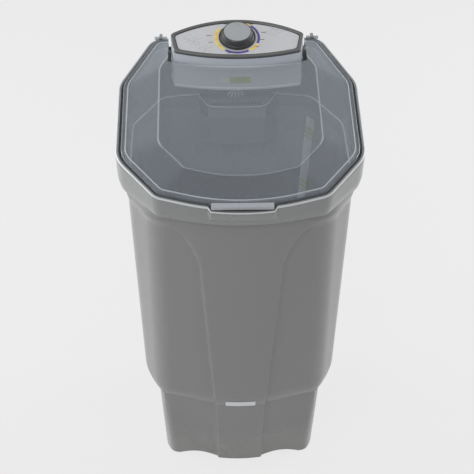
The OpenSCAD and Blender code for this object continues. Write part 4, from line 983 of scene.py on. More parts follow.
class Palette:
    """Every finish of the machine, made into materials once."""

    def __init__(self) -> None:
        """Builds the shared groups and lists the finishes."""
        self.effects = Effects()
        self.made: Dict[str, bpy.types.Material] = {}
        green, lime = srgb(150, 188, 40), srgb(165, 205, 24)
        label_grey, label_line = srgb(214, 218, 220), srgb(214, 217, 212)
        self.finishes: Dict[str, Finish] = {f.name: f for f in (
            Finish("body_moulded", srgb(118, 118, 118), roughness=0.24, mottle=0.05, relief=0.1,
                   low_dust=0.3, dust=0.04),
            # The band paints the tub below z 769 a lighter grey than the rim: painted light that evens out
            # the shade inside the tub.
            Finish("rim_moulded", srgb(119, 121, 121), roughness=0.26, mottle=0.04, relief=0.05, coat=0.25,
                   bands=(Band("Z", 290, 769, srgb(134, 136, 140)),)),
            # Near-white bead finish: painted highlight on the ledge's inner edge and on the filter pocket's
            # lip.
            Finish("painted_highlight_bead", srgb(240, 243, 246), roughness=0.2, relief=0.02),
            # Light line finish: painted highlight along the rim's outer top edge.
            Finish("painted_highlight_line", srgb(182, 185, 188), roughness=0.3, relief=0.02),
            Finish("lid_clear", srgb(152, 159, 167), Kind.CLEAR, roughness=0.15, relief=0.01, alpha=0.19,
                   mottle=0.02, dust=0.02),
            # Lighter, more opaque clear on the beads along the lid's edge and the raised middle's edge:
            # painted highlight. The hinge knuckles share the edge's finish.
            Finish("lid_edge", srgb(182, 189, 195), Kind.CLEAR, roughness=0.14, relief=0.01, alpha=0.6,
                   mottle=0.02, dust=0.02),
            Finish("lid_crest", srgb(172, 180, 188), Kind.CLEAR, roughness=0.1, relief=0.01, alpha=0.22,
                   mottle=0.02, dust=0.02),
            Finish("tab_moulded", srgb(150, 153, 158), roughness=0.25, relief=0.05),
            Finish("seal_rubber", srgb(38, 39, 42), roughness=0.55, grain=500, relief=0.2, mottle=0.15),
            # The band paints the housing's skirt below z 922 nearly white: painted light against the shade
            # that it gets under the clear lid.
            Finish("console_moulded", srgb(184, 189, 199), roughness=0.22, relief=0.03, coat=0.2,
                   bands=(Band("Z", 855, 922, srgb(238, 243, 252)),)),
            Finish("frame_olive", srgb(82, 85, 84), roughness=0.24, relief=0.04, coat=0.3, mottle=0.05),
            Finish("panel_silver", srgb(195, 196, 199), Kind.BRUSHED, roughness=0.34, metallic=0.15,
                   relief=0.05, stretch=(60.0, 1400.0, 1400.0)),
            Finish("knob_skirt", srgb(50, 53, 56), roughness=0.36, relief=0.12, grain=700, coat=0.1),
            Finish("knob_flange", srgb(14, 14, 15), roughness=0.5, relief=0.05, grain=700),
            Finish("knob_face", srgb(153, 157, 160), roughness=0.28, relief=0.04),
            Finish("print_yellow", srgb(238, 205, 60), roughness=0.3, relief=0.01),
            Finish("print_orange", srgb(236, 150, 62), roughness=0.3, relief=0.01),
            Finish("print_violet", srgb(72, 62, 140), roughness=0.3, relief=0.01),
            Finish("print_dark", srgb(62, 62, 66), roughness=0.35, relief=0.01),
            Finish("print_line", srgb(160, 161, 168), roughness=0.35, relief=0.01),
            Finish("zinc", srgb(190, 192, 196), Kind.BRUSHED, metallic=1.0, roughness=0.35),
            Finish("steel", srgb(200, 201, 204), Kind.BRUSHED, metallic=1.0, roughness=0.22,
                   stretch=(900.0, 900.0, 60.0)),
            Finish("cast_alloy", srgb(176, 178, 180), metallic=0.9, roughness=0.5, grain=600, relief=0.4,
                   mottle=0.15),
            Finish("copper_winding", srgb(176, 104, 60), Kind.BRUSHED, metallic=0.8, roughness=0.4,
                   stretch=(200.0, 200.0, 2600.0), relief=0.5),
            Finish("rotor_iron", srgb(120, 121, 124), Kind.BRUSHED, metallic=0.8, roughness=0.45,
                   stretch=(60.0, 60.0, 3000.0)),
            Finish("black_rubber", srgb(34, 34, 35), roughness=0.6, grain=600, relief=0.3, mottle=0.2,
                   low_dust=0.4),
            Finish("dark_plastic", srgb(74, 77, 81), roughness=0.42, relief=0.15),
            Finish("cream_plastic", srgb(214, 212, 200), roughness=0.45, relief=0.1),
            Finish("white_plastic", srgb(228, 229, 231), roughness=0.32, relief=0.06),
            Finish("spray_moulded", srgb(206, 209, 213), roughness=0.25, relief=0.04),
            # The first band paints the pocket's inside behind its front dark: painted shade in the recess.
            # The second band paints it plain grey again below z 768, so the painted shade stays near the
            # mouth.
            Finish("pocket_moulded", srgb(130, 133, 137), roughness=0.4, relief=0.08,
                   bands=(Band("Y", 182, 300, srgb(54, 56, 60)), Band("Z", 600, 768, srgb(112, 115, 119)))),
            Finish("filter_moulded", srgb(116, 120, 125), roughness=0.45, relief=0.12),
            Finish("cap_blue", srgb(96, 118, 158), roughness=0.3, relief=0.05),
            Finish("pipe_rubber", srgb(64, 66, 69), roughness=0.5, relief=0.2, grain=500),
            Finish("badge_silver", srgb(196, 198, 201), Kind.BRUSHED, metallic=0.35, roughness=0.34,
                   stretch=(60.0, 1400.0, 1400.0)),
            Finish("level_label", label_grey, roughness=0.4, relief=0.02,
                   bands=(Band("Z", 694, 722, green), Band("Z", 700, 703, label_grey),
                          Band("Z", 712, 715, label_grey), Band("Z", 560, 566, lime),
                          Band("Z", 574, 580, lime))),
            Finish("console_label", srgb(246, 248, 246), roughness=0.35, relief=0.02,
                   bands=(Band("X", -18, 30, lime), Band("Z", 877, 879, label_line),
                          Band("Z", 894, 897, label_line))),
        )}

    def get(self, name: str) -> bpy.types.Material:
        """The material of a finish, made on first use.

        Args:
            name: the finish's name.

        Returns:
            Its material.
        """
        if name not in self.made:
            self.made[name] = self.finishes[name].material(self.effects)
        return self.made[name]

    def dress(self, obj: bpy.types.Object, name: str) -> None:
        """Gives the whole object one finish."""
        obj.data.materials.clear()
        obj.data.materials.append(self.get(name))


@dataclass
class Assembly:
    """A group of pieces that share a palette; each piece is named, dressed and carried by a body."""

    palette: Palette

    def add(self, obj: bpy.types.Object, finish: str, body: str, slot: str,
            stands_for: Sequence[str] = ()) -> None:
        """Dresses a new piece, tells the frame what carries it and reports it.

        Args:
            obj: the piece.
            finish: name of its finish.
            body: the body that it moves with.
            slot: the record's material slot; not used.
            stands_for: solids that it replaces.
        """
        self.palette.dress(obj, finish)
        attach(obj, body)
        if stands_for:
            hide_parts(*stands_for)
        LOG.info("piece %s on %s, %d faces", obj.name, body, len(obj.data.polygons))

    def paint(self, finish: str, *nodes: str) -> None:
        """Gives solids that keep their own shape a finish.

        Args:
            finish: name of the finish.
            *nodes: names of the solids.
        """
        for node in nodes:
            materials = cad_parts[node].data.materials
            if not materials:
                materials.append(None)
            for i in range(len(materials)):
                materials[i] = self.palette.get(finish)
            LOG.info("solid %s gets %s", node, finish)


# Cabinet and base


@dataclass
class Shell(Assembly):
    """Cabinet and base: tapered shells with a proud middle panel between set-back corner panels."""

    # Middle panel: half widths at the floor, at the base's top, under the arch and over it
    foot_half: float = 50.0
    low_half: float = 56.0
    top_half: float = 85.0
    arch_half: float = 200.0

    # Corner panels: width of their step, the share of the half outline where they end, the length of the
    # bowed front over its width, and the height over which the step runs out at the arch
    step: float = 7.0
    fade: float = 0.46
    bow_stretch: float = 1.03
    arch_fade: float = 30.0

    # Points on the middle panel, the step, the corner panel and the rest of the half outline
    panel_points: ClassVar[Tuple[int, int, int, int]] = (14, 7, 46, 40)

    # Plans: the cabinet without its shoulder narrows to the waist, and the shoulder turns in to the base
    waist: Plan = Plan(230.0, 236.0, 250.0, cut_x=42.0, cut_y=140.0, bend=95.0)
    base_top: Plan = Plan(200.0, 226.0, 237.0, 18.0, cut_x=24.0, cut_y=86.0)
    base_low: Plan = Plan(187.0, 192.0, 214.0, 8.5, cut_x=24.0, cut_y=86.0)
    neck_cut_x: float = 62.0
    neck_cut_y: float = 158.0
    shoulder_power: float = 2.2

    # Roundings of the cabinet's and the base's outer lower edges
    cabinet_round: float = 1.2
    base_round: float = 1.4

    # Lower edge: its height, its scallops' height, the feet's width and the side scallop's start and run
    edge_h: float = 2.0
    scallop: float = 10.0
    foot_w: float = 38.0
    side_from: float = -90.0
    side_run: float = 200.0

    # Base's spigot inside the cabinet and how far its wall runs down, deck with its holes, and legs
    spigot_h: float = 24.0
    spigot_foot: float = 8.0
    deck_h: float = 205.0
    deck_t: float = 4.0
    shaft_hole_r: float = 24.0
    drain_hole_r: float = 16.0
    leg_r: float = 18.0
    leg_in_r: float = 15.0
    stud_r: float = 10.2
    leg_low_h: float = 2.4

    # Badge: half width, height, place over the cabinet's lower edge, and depth before and in the shell
    badge_half: float = 35.5
    badge_h: float = 17.5
    badge_up: float = 0.6
    badge_out: float = 1.5
    badge_in: float = 0.4

    def panelled(self, plan: Plan, edge: float, deep: float, inset: float) -> np.ndarray:
        """Ring of a plan whose corner panels are set back.

        The share of the half outline's length runs from 0 at the front to 1 at the rear. The depth is 0
        on the middle panel, rises over a short step, and falls with the cube of the share past the step
        until it is 0 again on the side.

        Args:
            plan: the outline without panels.
            edge: half width of the middle panel.
            deep: depth of the corner panels.
            inset: distance moved inwards everywhere.

        Returns:
            Rows of x and y.
        """
        h = plan.half_outline()
        run = np.concatenate([[0], np.cumsum(np.linalg.norm(np.diff(h[:, :2], axis=0), axis=1))])
        total = run[-1]
        a = min(edge * self.bow_stretch / total, self.fade - 0.05)
        b = a + self.step / total
        middle, step, corner, rest = self.panel_points
        share = np.concatenate([np.linspace(0, a, middle), np.linspace(a, b, step)[1:],
                                np.linspace(b, self.fade, corner)[1:], np.linspace(self.fade, 1, rest)[1:]])
        fall = 1 - np.clip((share - b) / (self.fade - b), 0, 1) ** 3
        depth = deep * eased((share - a) / (b - a)) * fall
        p = np.stack([np.interp(share * total, run, h[:, c]) for c in range(4)], 1)
        p[:, 2:] /= np.linalg.norm(p[:, 2:], axis=1)[:, None]
        p[0, 2:], p[-1, 2:] = (0, -1), (0, 1)
        p[:, :2] -= depth[:, None] * p[:, 2:]
        return mirrored(p, inset)

    def cabinet_ring(self, z: float, inset: float) -> np.ndarray:
        """Cabinet's ring at the height z: the side tapers evenly, and the shoulder turns in below.

        The middle panel widens evenly up to the arch, and there its edge follows a quarter ellipse out.

        Args:
            z: the height.
            inset: distance moved inwards.

        Returns:
            Rows of x and y.
        """
        f = min(1.0, (z - S.cabinet_low_h) / (S.collar_h - S.cabinet_low_h))
        turn = (max(0.0, S.shoulder_h - z) / (S.shoulder_h - S.cabinet_low_h)) ** self.shoulder_power
        top, low = self.waist, self.base_top
        neck = Plan(S.rim_half - S.neck_in, S.rim_front - S.neck_in, S.rim_rear - S.neck_in,
                    cut_x=self.neck_cut_x, cut_y=self.neck_cut_y, bend=top.bend)
        lip = replace(low, half=low.half + S.lip, front=low.front + S.lip, rear=low.rear + S.lip)
        plan = top.toward(neck, f).toward(lip, turn)
        q = float(np.clip((z - S.arch_low_h) / (S.arch_top_h - S.arch_low_h), 0, 1))
        if q == 0:
            g = (z - S.cabinet_low_h) / (S.arch_low_h - S.cabinet_low_h)
            edge = mix(self.low_half, self.top_half, min(g, 1))
        else:
            edge = mix(self.top_half, self.arch_half, 1 - math.sqrt(1 - q * q))
        deep = S.recess * float(eased(np.array((S.arch_top_h - z) / self.arch_fade)))
        return self.panelled(plan, edge, deep, inset)

    def neck_ring(self, inset: float) -> np.ndarray:
        """Ring of the cabinet's neck, which follows the rim inside the tub's collar."""
        return self.panelled(RIM, self.arch_half, 0.0, S.neck_in - S.neck_out + inset)

    def cabinet(self) -> bpy.types.Object:
        """Outer skin from the lower lip to the sloping neck, the inner skin back down and the flange.

        Returns:
            The shell.
        """
        low, w = S.cabinet_low_h, S.wall
        arch = S.arch_low_h + (S.arch_top_h - S.arch_low_h) * np.sin(np.linspace(0, math.pi / 2, 30))
        shoulder = low + (S.shoulder_h - low) * np.linspace(0, 1, 12) ** 1.4
        rows = np.concatenate([shoulder, np.linspace(270, 600, 18), arch, [S.collar_h]])
        up = -S.seat_drop - w
        outer, inner = self.neck_ring(0), self.neck_ring(w)
        rings = [level(self.cabinet_ring(z, 0), z) for z in rows]
        rings += [level(outer, S.neck_row), sloped(outer, up), sloped(inner, up), level(inner, S.neck_row)]
        rings += [level(self.cabinet_ring(z, w), z) for z in rows[::-6]]
        flange = self.cabinet_ring(low, S.lip + S.base_step - S.spigot_gap)
        rings += [level(self.cabinet_ring(low, w), low + w), level(flange, low + w), level(flange, low)]
        radii = [self.cabinet_round] + [0.0] * (len(rings) - 1)
        return skin("cabinet_shell", notched(fillet(rings, radii, True), S.notch_h - 0.3), closed=True)

    def base_ring(self, z: float, inset: float) -> np.ndarray:
        """Base's ring at the height z: an even taper with a squarer plan than the cabinet.

        Args:
            z: the height.
            inset: distance moved inwards.

        Returns:
            Rows of x and y.
        """
        f = z / S.cabinet_low_h
        plan = self.base_low.toward(self.base_top, f)
        return self.panelled(plan, mix(self.foot_half, self.low_half, f), S.recess, inset)

    def lower_edge(self, ring: np.ndarray) -> np.ndarray:
        """Height of the base's edge: a half sine from the middle panel to each foot, and along the side.

        Args:
            ring: rows of x and y of the base's lowest ring.

        Returns:
            One height for each point.
        """
        x, corner = np.abs(ring[:, 0]), self.base_low.half - self.foot_w
        t = np.where(x > corner, (ring[:, 1] - self.side_from) / self.side_run,
                     (x - self.low_half) / (corner - self.low_half))
        arc = self.scallop * np.sin(math.pi * np.clip(t, 0, 1))
        return self.edge_h + np.where((t > 0) & (t < 1), arc, 0)

    def base(self) -> bpy.types.Object:
        """Outer skin from the scalloped edge up, the spigot inside the cabinet and the inner skin down.

        Returns:
            The shell.
        """
        def row(t: float, inset: float) -> np.ndarray:
            """Ring at the share t of the way from the lower edge to the base's top.

            Args:
                t: 0 at the lower edge, 1 at the base's top.
                inset: distance moved inwards.

            Returns:
                Rows of x, y and z.
            """
            ring = self.base_ring(t * S.cabinet_low_h, inset)
            edge = self.lower_edge(self.base_ring(0, inset))
            return np.column_stack([ring, edge + (S.cabinet_low_h - edge) * t])

        low, w, step = S.cabinet_low_h, S.wall, S.base_step
        top, lean = low + self.spigot_h, step + S.spigot_lean
        shares = np.concatenate([[0, 0.006, 0.015, 0.03], np.linspace(0.06, 1, 16)])
        rings = [row(t, 0) for t in shares]
        rings += [level(self.base_ring(low, step), low), level(self.base_ring(low, lean), top),
                  level(self.base_ring(low, lean + w), top),
                  level(self.base_ring(low, step + w), low - self.spigot_foot)]
        rings += [row(t, w) for t in shares[::-4]]
        rings.append(row(0, w))
        radii = [self.base_round] + [0.0] * (len(rings) - 1)
        return skin("base_shell", fillet(rings, radii, True), closed=True)

    def deck(self) -> bpy.types.Object:
        """Flat deck inside the base with its openings for the belt, the shaft and the drain.

        Returns:
            The deck.
        """
        low, high = self.deck_h, self.deck_h + self.deck_t
        under, over = low - 5, high + 6
        ring = self.base_ring(low, S.wall - 0.2)
        deck = skin("base_deck", np.stack([level(ring, low), level(ring, high)]))
        return carve(deck, [block("cut_a", (-66, 58, under), (66, 198, over)),
                            cylinder_z("cut_b", 0, 0, under, over, self.shaft_hole_r),
                            cylinder_z("cut_c", 85, -75, under, over, self.drain_hole_r)])

    def legs(self) -> List[bpy.types.Object]:
        """Four hollow legs between the deck and the rubber feet.

        Returns:
            The four legs.
        """
        spots = [(118, -128), (-118, -128), (130, 165), (-130, 165)]
        low, high = self.leg_low_h, self.deck_h - 0.1
        profile = [(self.leg_r, low), (self.leg_r, high), (self.leg_in_r, high), (self.leg_in_r, 12),
                   (self.stud_r, 10), (self.stud_r, low)]
        return [revolved(f"base_leg_{i}", profile, (x, y, 0), 48, True) for i, (x, y) in enumerate(spots)]

    def badge(self) -> bpy.types.Object:
        """Bare plate on the cabinet's front: at each height it follows the shell, a little in front of it.

        Returns:
            The plate.
        """
        across = np.linspace(-self.badge_half, self.badge_half, 15)
        low = S.cabinet_low_h + self.badge_up
        rings = []
        for z in np.linspace(low, low + self.badge_h, 7):
            shell = self.cabinet_ring(z, 0)
            front = shell[shell[:, 1] < 0]
            front = front[np.argsort(front[:, 0])]
            y = np.interp(across, front[:, 0], front[:, 1])
            face = np.column_stack([across, y - self.badge_out])
            back = np.column_stack([across, y + self.badge_in])[::-1]
            rings.append(level(np.concatenate([face, back]), z))
        return skin("badge", np.stack(rings))

    def make(self) -> None:
        """Makes and dresses the cabinet and the base."""
        self.add(self.cabinet(), "body_moulded", "frame", "body_grey", ["cabinet"])
        self.add(self.base(), "body_moulded", "frame", "body_grey", ["base"])
        for piece in (self.deck(), *self.legs()):
            self.add(piece, "body_moulded", "frame", "body_grey")
        self.add(self.badge(), "badge_silver", "frame", "badge_silver", ["badge_plate"])
        self.paint("black_rubber", "rubber_feet", "cord_gland")
        self.paint("zinc", "base_screws")


# Tub and lid


@dataclass
class TubTop(Assembly):
    """Tub with its sloping rim, the finger pocket, the lid on its hinge and the black seal."""

    # Finger pocket: half width of its full depth, and of its whole reach
    pocket_in: float = 66.0
    pocket_out: float = 75.0

    # Tub's floor: the shaft's hole, the flat round it and the small step at its edge
    hole_r: float = 12.5
    flat_r: float = 140.0
    floor_step: float = 0.6

    # Lid: its wall, its height over the rim's plane, and the raised middle
    lid_t: float = 2.8
    edge_h: float = 6.0
    plateau_half: float = 181.0
    plateau_front: float = 208.0
    plateau_back: float = 30.0
    plateau_h: float = 23.0
    sharp: float = 25.0

    # Hinge: half gap at the bracket, its slot in the lid, and the knuckles beside it
    bracket_half: float = 3.8
    slot_r: float = 5.6
    knuckle_end: float = 15.0
    knuckle_r: float = 4.0
    knuckle_round: float = 0.6
    pin_hole_r: float = 2.05

    # Lip of the filter pocket: half its width and height, its place over the ledge and its front's bow
    filter_lip_w: float = 1.5
    filter_lip_h: float = 0.9
    filter_lip_up: float = 2.9
    filter_front_y: float = 178.5
    filter_front_half: float = 66.0
    filter_bow: float = 3.5

    @property
    def plateau(self) -> Plan:
        """Plan of the lid's raised middle."""
        return Plan(self.plateau_half, self.plateau_front, S.rim_rear - self.plateau_back)

    @staticmethod
    def rear_cut() -> bpy.types.Object:
        """Block that leaves the rim's rear free for the console."""
        return block("cut_rear", (-S.notch_half, S.notch_y, 850), (S.notch_half, 330, 1000))

    @staticmethod
    def tab_cut() -> bpy.types.Object:
        """Block that leaves the lid's front edge free for its tab."""
        half = S.tab_w / 2 + 0.3
        return block("cut_tab", (-half, -290, 770), (half, -268, 850))

    def pocketed(self, ring: np.ndarray, forward: float, down: float) -> np.ndarray:
        """Moves a ring's front towards the viewer and down within the finger pocket's width.

        Args:
            ring: rows of x, y and z.
            forward: how far it moves to the front.
            down: how far it moves down.

        Returns:
            The moved ring.
        """
        out = ring.copy()
        share = eased((self.pocket_out - np.abs(ring[:, 0])) / (self.pocket_out - self.pocket_in))
        share = np.where(ring[:, 1] < 0, share, 0)
        out[:, 1] -= forward * share
        out[:, 2] -= down * share
        return out

    def tub(self) -> bpy.types.Object:
        """One sheet: under the floor, up outside, over the collar and rim, down inside and to the axis.

        Returns:
            The tub with its collar and rim.
        """
        f, w, seat = S.floor_h, S.wall, -S.seat_drop
        under, step = seat - w, self.floor_step
        flat = LOW.ring(S.tub_round)
        stack: List[Tuple[np.ndarray, float]] = [
            (level(circle_like(flat, self.hole_r), f - w), 0),
            (level(circle_like(flat, self.flat_r), f - w), 0),
            (level(LOW.ring(S.tub_round - w), f - w + step), 4),
            (level(LOW.ring(2), f + 6), 8),
            (level(LOW.ring(-w), f + S.tub_round), 18),
            (level(MOUTH.ring(-w), S.mouth_h - w), 1.5),
            (level(MOUTH.ring(-w - S.ledge_w), S.mouth_h - w), 1.5),
            (sloped(RIM.ring(S.seat_in - w), under), 1.5),
            (sloped(RIM.ring(w), under), 1.5),
            (level(RIM.ring(S.collar_in + w), S.collar_h), 1.0),
            (level(RIM.ring(S.collar_in), S.collar_h), 1.4),
            (level(RIM.ring(4.2), 785.0), 4),
            (self.pocketed(level(RIM.ring(3.0), 791.0), 4.5, 2.0), 2),
            (self.pocketed(sloped(RIM.ring(0), -9), 8.6, 2.0), 5),
            (self.pocketed(sloped(RIM.ring(0.5), -2.2), 9.6, 2.6), 1.6),
            (self.pocketed(sloped(RIM.ring(2.6), 0), 10.2, 3.2), 1.0),
            (self.pocketed(sloped(RIM.ring(S.land_w), 0), 5.5, 4.4), 1.1),
            (self.pocketed(sloped(RIM.ring(S.land_w), seat), 5.5, 17), 1.2),
            (self.pocketed(sloped(RIM.ring(9.9), seat), -1.6, 17), 1.2),
            (self.pocketed(sloped(RIM.ring(14.5), seat), 3.0, 0), 1.0),
            (sloped(RIM.ring(S.seat_in), seat), 2.5),
            (level(MOUTH.ring(-S.ledge_w), S.mouth_h), 1.6),
            (level(MOUTH.ring(0), S.mouth_h), 2.2),
            (level(LOW.ring(0), f + S.tub_round), 18),
            (level(LOW.ring(8), f + 6), 8),
            (level(flat, f - step), 4),
            (level(circle_like(flat, self.flat_r), f - step), 0),
            (level(circle_like(flat, self.flat_r - step), f), 0),
            (level(circle_like(flat, self.hole_r), f), 0)]
        rings = fillet([r for r, _ in stack], [v for _, v in stack], True)
        return skin("tub_and_rim", notched(rings, S.notch_h), closed=True, sharp=38)

    def seal(self) -> bpy.types.Object:
        """Black seal between the rim and the lid: a rounded strip that follows the rim.

        Returns:
            The seal.
        """
        outer, inner, rest = S.land_w + 0.3, S.lid_in - S.lid_gap, -S.seat_drop + 0.2
        profile = [(outer, -S.seat_drop, 0.3), (outer, -1.2, 1.2), (10.4, -1.2, 1.2), (inner, rest, 0.6),
                   (16.4, rest, 0.3), (17.4, -6.6, 0.6), (22.2, -6.6, 0.6), (23.2, -S.seat_drop, 0.3)]
        strip = skin("lid_seal", followed(RIM, sloped, profile, steps=5), closed=True)
        pouch = block("cut_pouch", (-70.8, -300, 780), (70.8, -250, 850))
        return carve(strip, [self.rear_cut(), pouch])

    def lid(self) -> bpy.types.Object:
        """Clear shell: thick edge, sloping band and raised middle, cut away round the console.

        Returns:
            The lid's shell.
        """
        middle = self.plateau
        low, t, h, e = -S.seat_drop + 0.3, self.lid_t, self.plateau_h, self.edge_h
        stack = [(sloped(middle.ring(16), h - t), 0), (sloped(middle.ring(t * 0.6), h - t), 1),
                 (sloped(middle.ring(-1), h - t - 2), 1), (sloped(RIM.ring(20), e - t - 3), 3),
                 (sloped(RIM.ring(16), low), 0.6), (sloped(RIM.ring(S.lid_in), low), 0.6),
                 (sloped(RIM.ring(S.lid_in), e - 2), 0.6), (sloped(RIM.ring(14), e), 1.2),
                 (sloped(RIM.ring(17), e), 1.0), (sloped(RIM.ring(22), e - 1), 1.0),
                 (sloped(middle.ring(-2), h - 2), 1.5), (sloped(middle.ring(2), h), 1.5),
                 (sloped(middle.ring(16), h), 0)]
        shell = skin("lid_shell", fillet([r for r, _ in stack], [v for _, v in stack], False, steps=4))
        slots = []
        for x in (-S.hinge_x, S.hinge_x):
            ends = [(x - self.bracket_half, self.slot_r), (x + self.bracket_half, self.slot_r)]
            slots.append(turned_x("cut_hinge", ends, S.hinge_y, S.hinge_z))
        carve(shell, [Console.clearance(S.notch_gap), self.tab_cut(), *slots], self.sharp)
        for up in (h, h - t):
            self.even_cap(shell, up)
        shell.data.shade_smooth()
        shell.data.set_sharp_from_angle(angle=math.radians(self.sharp))
        return shell

    @staticmethod
    def flat_faces(bm: bmesh.types.BMesh, normal: Vector, up: float) -> List[bmesh.types.BMFace]:
        """Faces that lie along the rim's plane at the height up over it.

        Args:
            bm: the mesh.
            normal: the plane's normal.
            up: height over the plane.

        Returns:
            The faces.
        """
        flat = []
        for face in bm.faces:
            mid = face.calc_center_median() / MM
            off = mid.z - float(S.rim_z(np.array(mid.y))) - up
            if abs(face.normal.dot(normal)) > 0.99999 and abs(off) < 0.05:
                flat.append(face)
        return flat

    @staticmethod
    def outline_of(faces: Sequence[bmesh.types.BMFace]) -> List[bmesh.types.BMVert]:
        """Vertices round a patch of faces, one after the other.

        Args:
            faces: the patch.

        Returns:
            The vertices, in the turn of the faces.
        """
        inside = set(faces)
        ahead = {}
        for face in faces:
            for loop in face.loops:
                if any(other not in inside for other in loop.edge.link_faces):
                    ahead[loop.vert] = loop.link_loop_next.vert
        order = [next(iter(ahead))]
        while ahead[order[-1]] is not order[0]:
            order.append(ahead[order[-1]])
        return order

    def even_cap(self, obj: bpy.types.Object, up: float, pitch: float = 17.0) -> None:
        """Replaces the flat faces at one height over the rim's plane by an even triangulation.

        The faces' outline stays, and points on a square grid inside it are joined to it as a constrained
        Delaunay triangulation, so that no long sliver is left on the clear surface.

        Args:
            obj: the lid's shell.
            up: height of the faces over the rim's sloping plane.
            pitch: spacing of the grid.
        """
        bm = bmesh.new()
        bm.from_mesh(obj.data)
        slope = math.radians(S.rim_slope)
        normal = Vector((0, -math.sin(slope), math.cos(slope)))
        flat = self.flat_faces(bm, normal, up)
        facing = 1 if flat[0].normal.dot(normal) > 0 else -1
        order = self.outline_of(flat)[::facing]
        edge = np.array([v.co[:2] for v in order]) / MM
        low, high = edge.min(0), edge.max(0)
        across, along = (np.arange(a, b, pitch) for a, b in zip(low, high))
        grid = np.stack(np.meshgrid(across, along), -1).reshape(-1, 2)
        near = np.linalg.norm(grid[:, None] - edge[None], axis=2).min(1)
        points = np.concatenate([edge, grid[near > 0.4 * pitch]])
        found = delaunay_2d_cdt([Vector(p) for p in points], [], [list(range(len(order)))], 1, 1e-7)
        places, tris, sources = found[0], found[2], found[3]
        bmesh.ops.delete(bm, geom=flat, context="FACES")
        made = {k: order[source[0]] for k, source in enumerate(sources) if source and source[0] < len(order)}
        for tri in tris:
            for k in tri:
                if k not in made:
                    x, y = places[k]
                    z = float(S.rim_z(np.array(y))) + up
                    made[k] = bm.verts.new((x * MM, y * MM, z * MM))
            bm.faces.new([made[k] for k in tri][::facing])
        bm.to_mesh(obj.data)
        bm.free()

    def crest(self) -> bpy.types.Object:
        """Painted highlight along the raised middle's edge: a light, flattened round profile that follows its
        plan.

        Returns:
            The line.
        """
        h = self.plateau_h
        profile = [(-1.7, h - 1.9, 0.3), (-1.5, h - 0.9, 0.8), (1.9, h + 0.35, 0.8), (2.4, h - 0.5, 0.3)]
        line = skin("lid_crest", followed(self.plateau, sloped, profile), closed=True)
        return carve(line, [Console.clearance(S.notch_gap + 0.6)])

    def edge(self) -> bpy.types.Object:
        """Painted highlight inside the lid's edge: a light, flattened round bead that follows the rim.

        Returns:
            The bead.
        """
        e = self.edge_h
        profile = [(20.6, e - 1.6, 0.3), (20.8, e + 0.1, 0.7), (23.4, e + 0.4, 0.7), (23.8, e - 1.0, 0.3)]
        line = skin("lid_edge", followed(RIM, sloped, profile), closed=True)
        return carve(line, [Console.clearance(S.notch_gap + 0.6), self.tab_cut()])

    def knuckles(self) -> List[bpy.types.Object]:
        """Rounded barrels of the lid's hinges, either side of each bracket.

        Returns:
            The four barrels.
        """
        out = []
        hole, r, soft = self.pin_hole_r, self.knuckle_r, self.knuckle_round
        for x in (-S.hinge_x, S.hinge_x):
            for a, b in ((-self.knuckle_end, -self.bracket_half), (self.bracket_half, self.knuckle_end)):
                a, b = x + a, x + b
                profile = [(a, hole), (a, r - soft), (a + soft, r), (b - soft, r), (b, r - soft), (b, hole)]
                out.append(turned_x(f"lid_knuckle_{len(out)}", profile, S.hinge_y, S.hinge_z, closed=True))
        return out

    def bead(self) -> bpy.types.Object:
        """Painted highlight along the ledge's inner edge: a light, flattened round bead that follows the
        mouth.

        Returns:
            The bead.
        """
        z = S.mouth_h
        profile = [(-4.6, z - 0.4, 0), (-4.6, z + 1.1, 0.9), (-0.3, z + 1.1, 0.9), (-0.3, z - 0.4, 0)]
        return skin("ledge_bead", followed(MOUTH, level, profile), closed=True)

    def tab(self) -> bpy.types.Object:
        """Lifting tab: a flat slab with rounded edges and rounded front corners.

        Returns:
            The tab.
        """
        half, front, back, round_r = S.tab_w / 2, -286.0, -268.3, 4.0
        low, high = 818.2, 825.0

        def outline(inset: float) -> np.ndarray:
            """Rectangle with rounded front corners, moved inwards by inset.

            Args:
                inset: distance moved inwards.

            Returns:
                Rows of x and y.
            """
            w = np.linspace(0, math.pi / 2, 9)
            r, x, y = round_r - inset, half - round_r, front + round_r
            right = np.column_stack([x + r * np.sin(w), y - r * np.cos(w)])
            rear = np.array([[half - inset, back - inset], [-half + inset, back - inset]])
            return np.concatenate([right, rear, right[::-1] * (-1, 1)])

        rings = [level(outline(1.4), low), level(outline(0), low), level(outline(0), high),
                 level(outline(1.4), high)]
        return skin("lid_tab", fillet(rings, [0, 1.3, 1.6, 0], False, 5))

    def rim_line(self) -> bpy.types.Object:
        """Painted highlight along the rim's outer top edge: a light, flattened profile that follows the
        pocket's lip.

        Returns:
            The line.
        """
        rings = [self.pocketed(sloped(RIM.ring(0.1), -2.6), 9.6, 2.6),
                 self.pocketed(sloped(RIM.ring(0.8), -0.5), 9.8, 2.8),
                 self.pocketed(sloped(RIM.ring(2.6), 0.35), 10.2, 3.2),
                 self.pocketed(sloped(RIM.ring(3.4), -0.6), 10.5, 3.2)]
        line = skin("rim_line", fillet(rings, [0.3, 0.8, 0.8, 0.3], True, 4), closed=True)
        return carve(line, [self.rear_cut()])

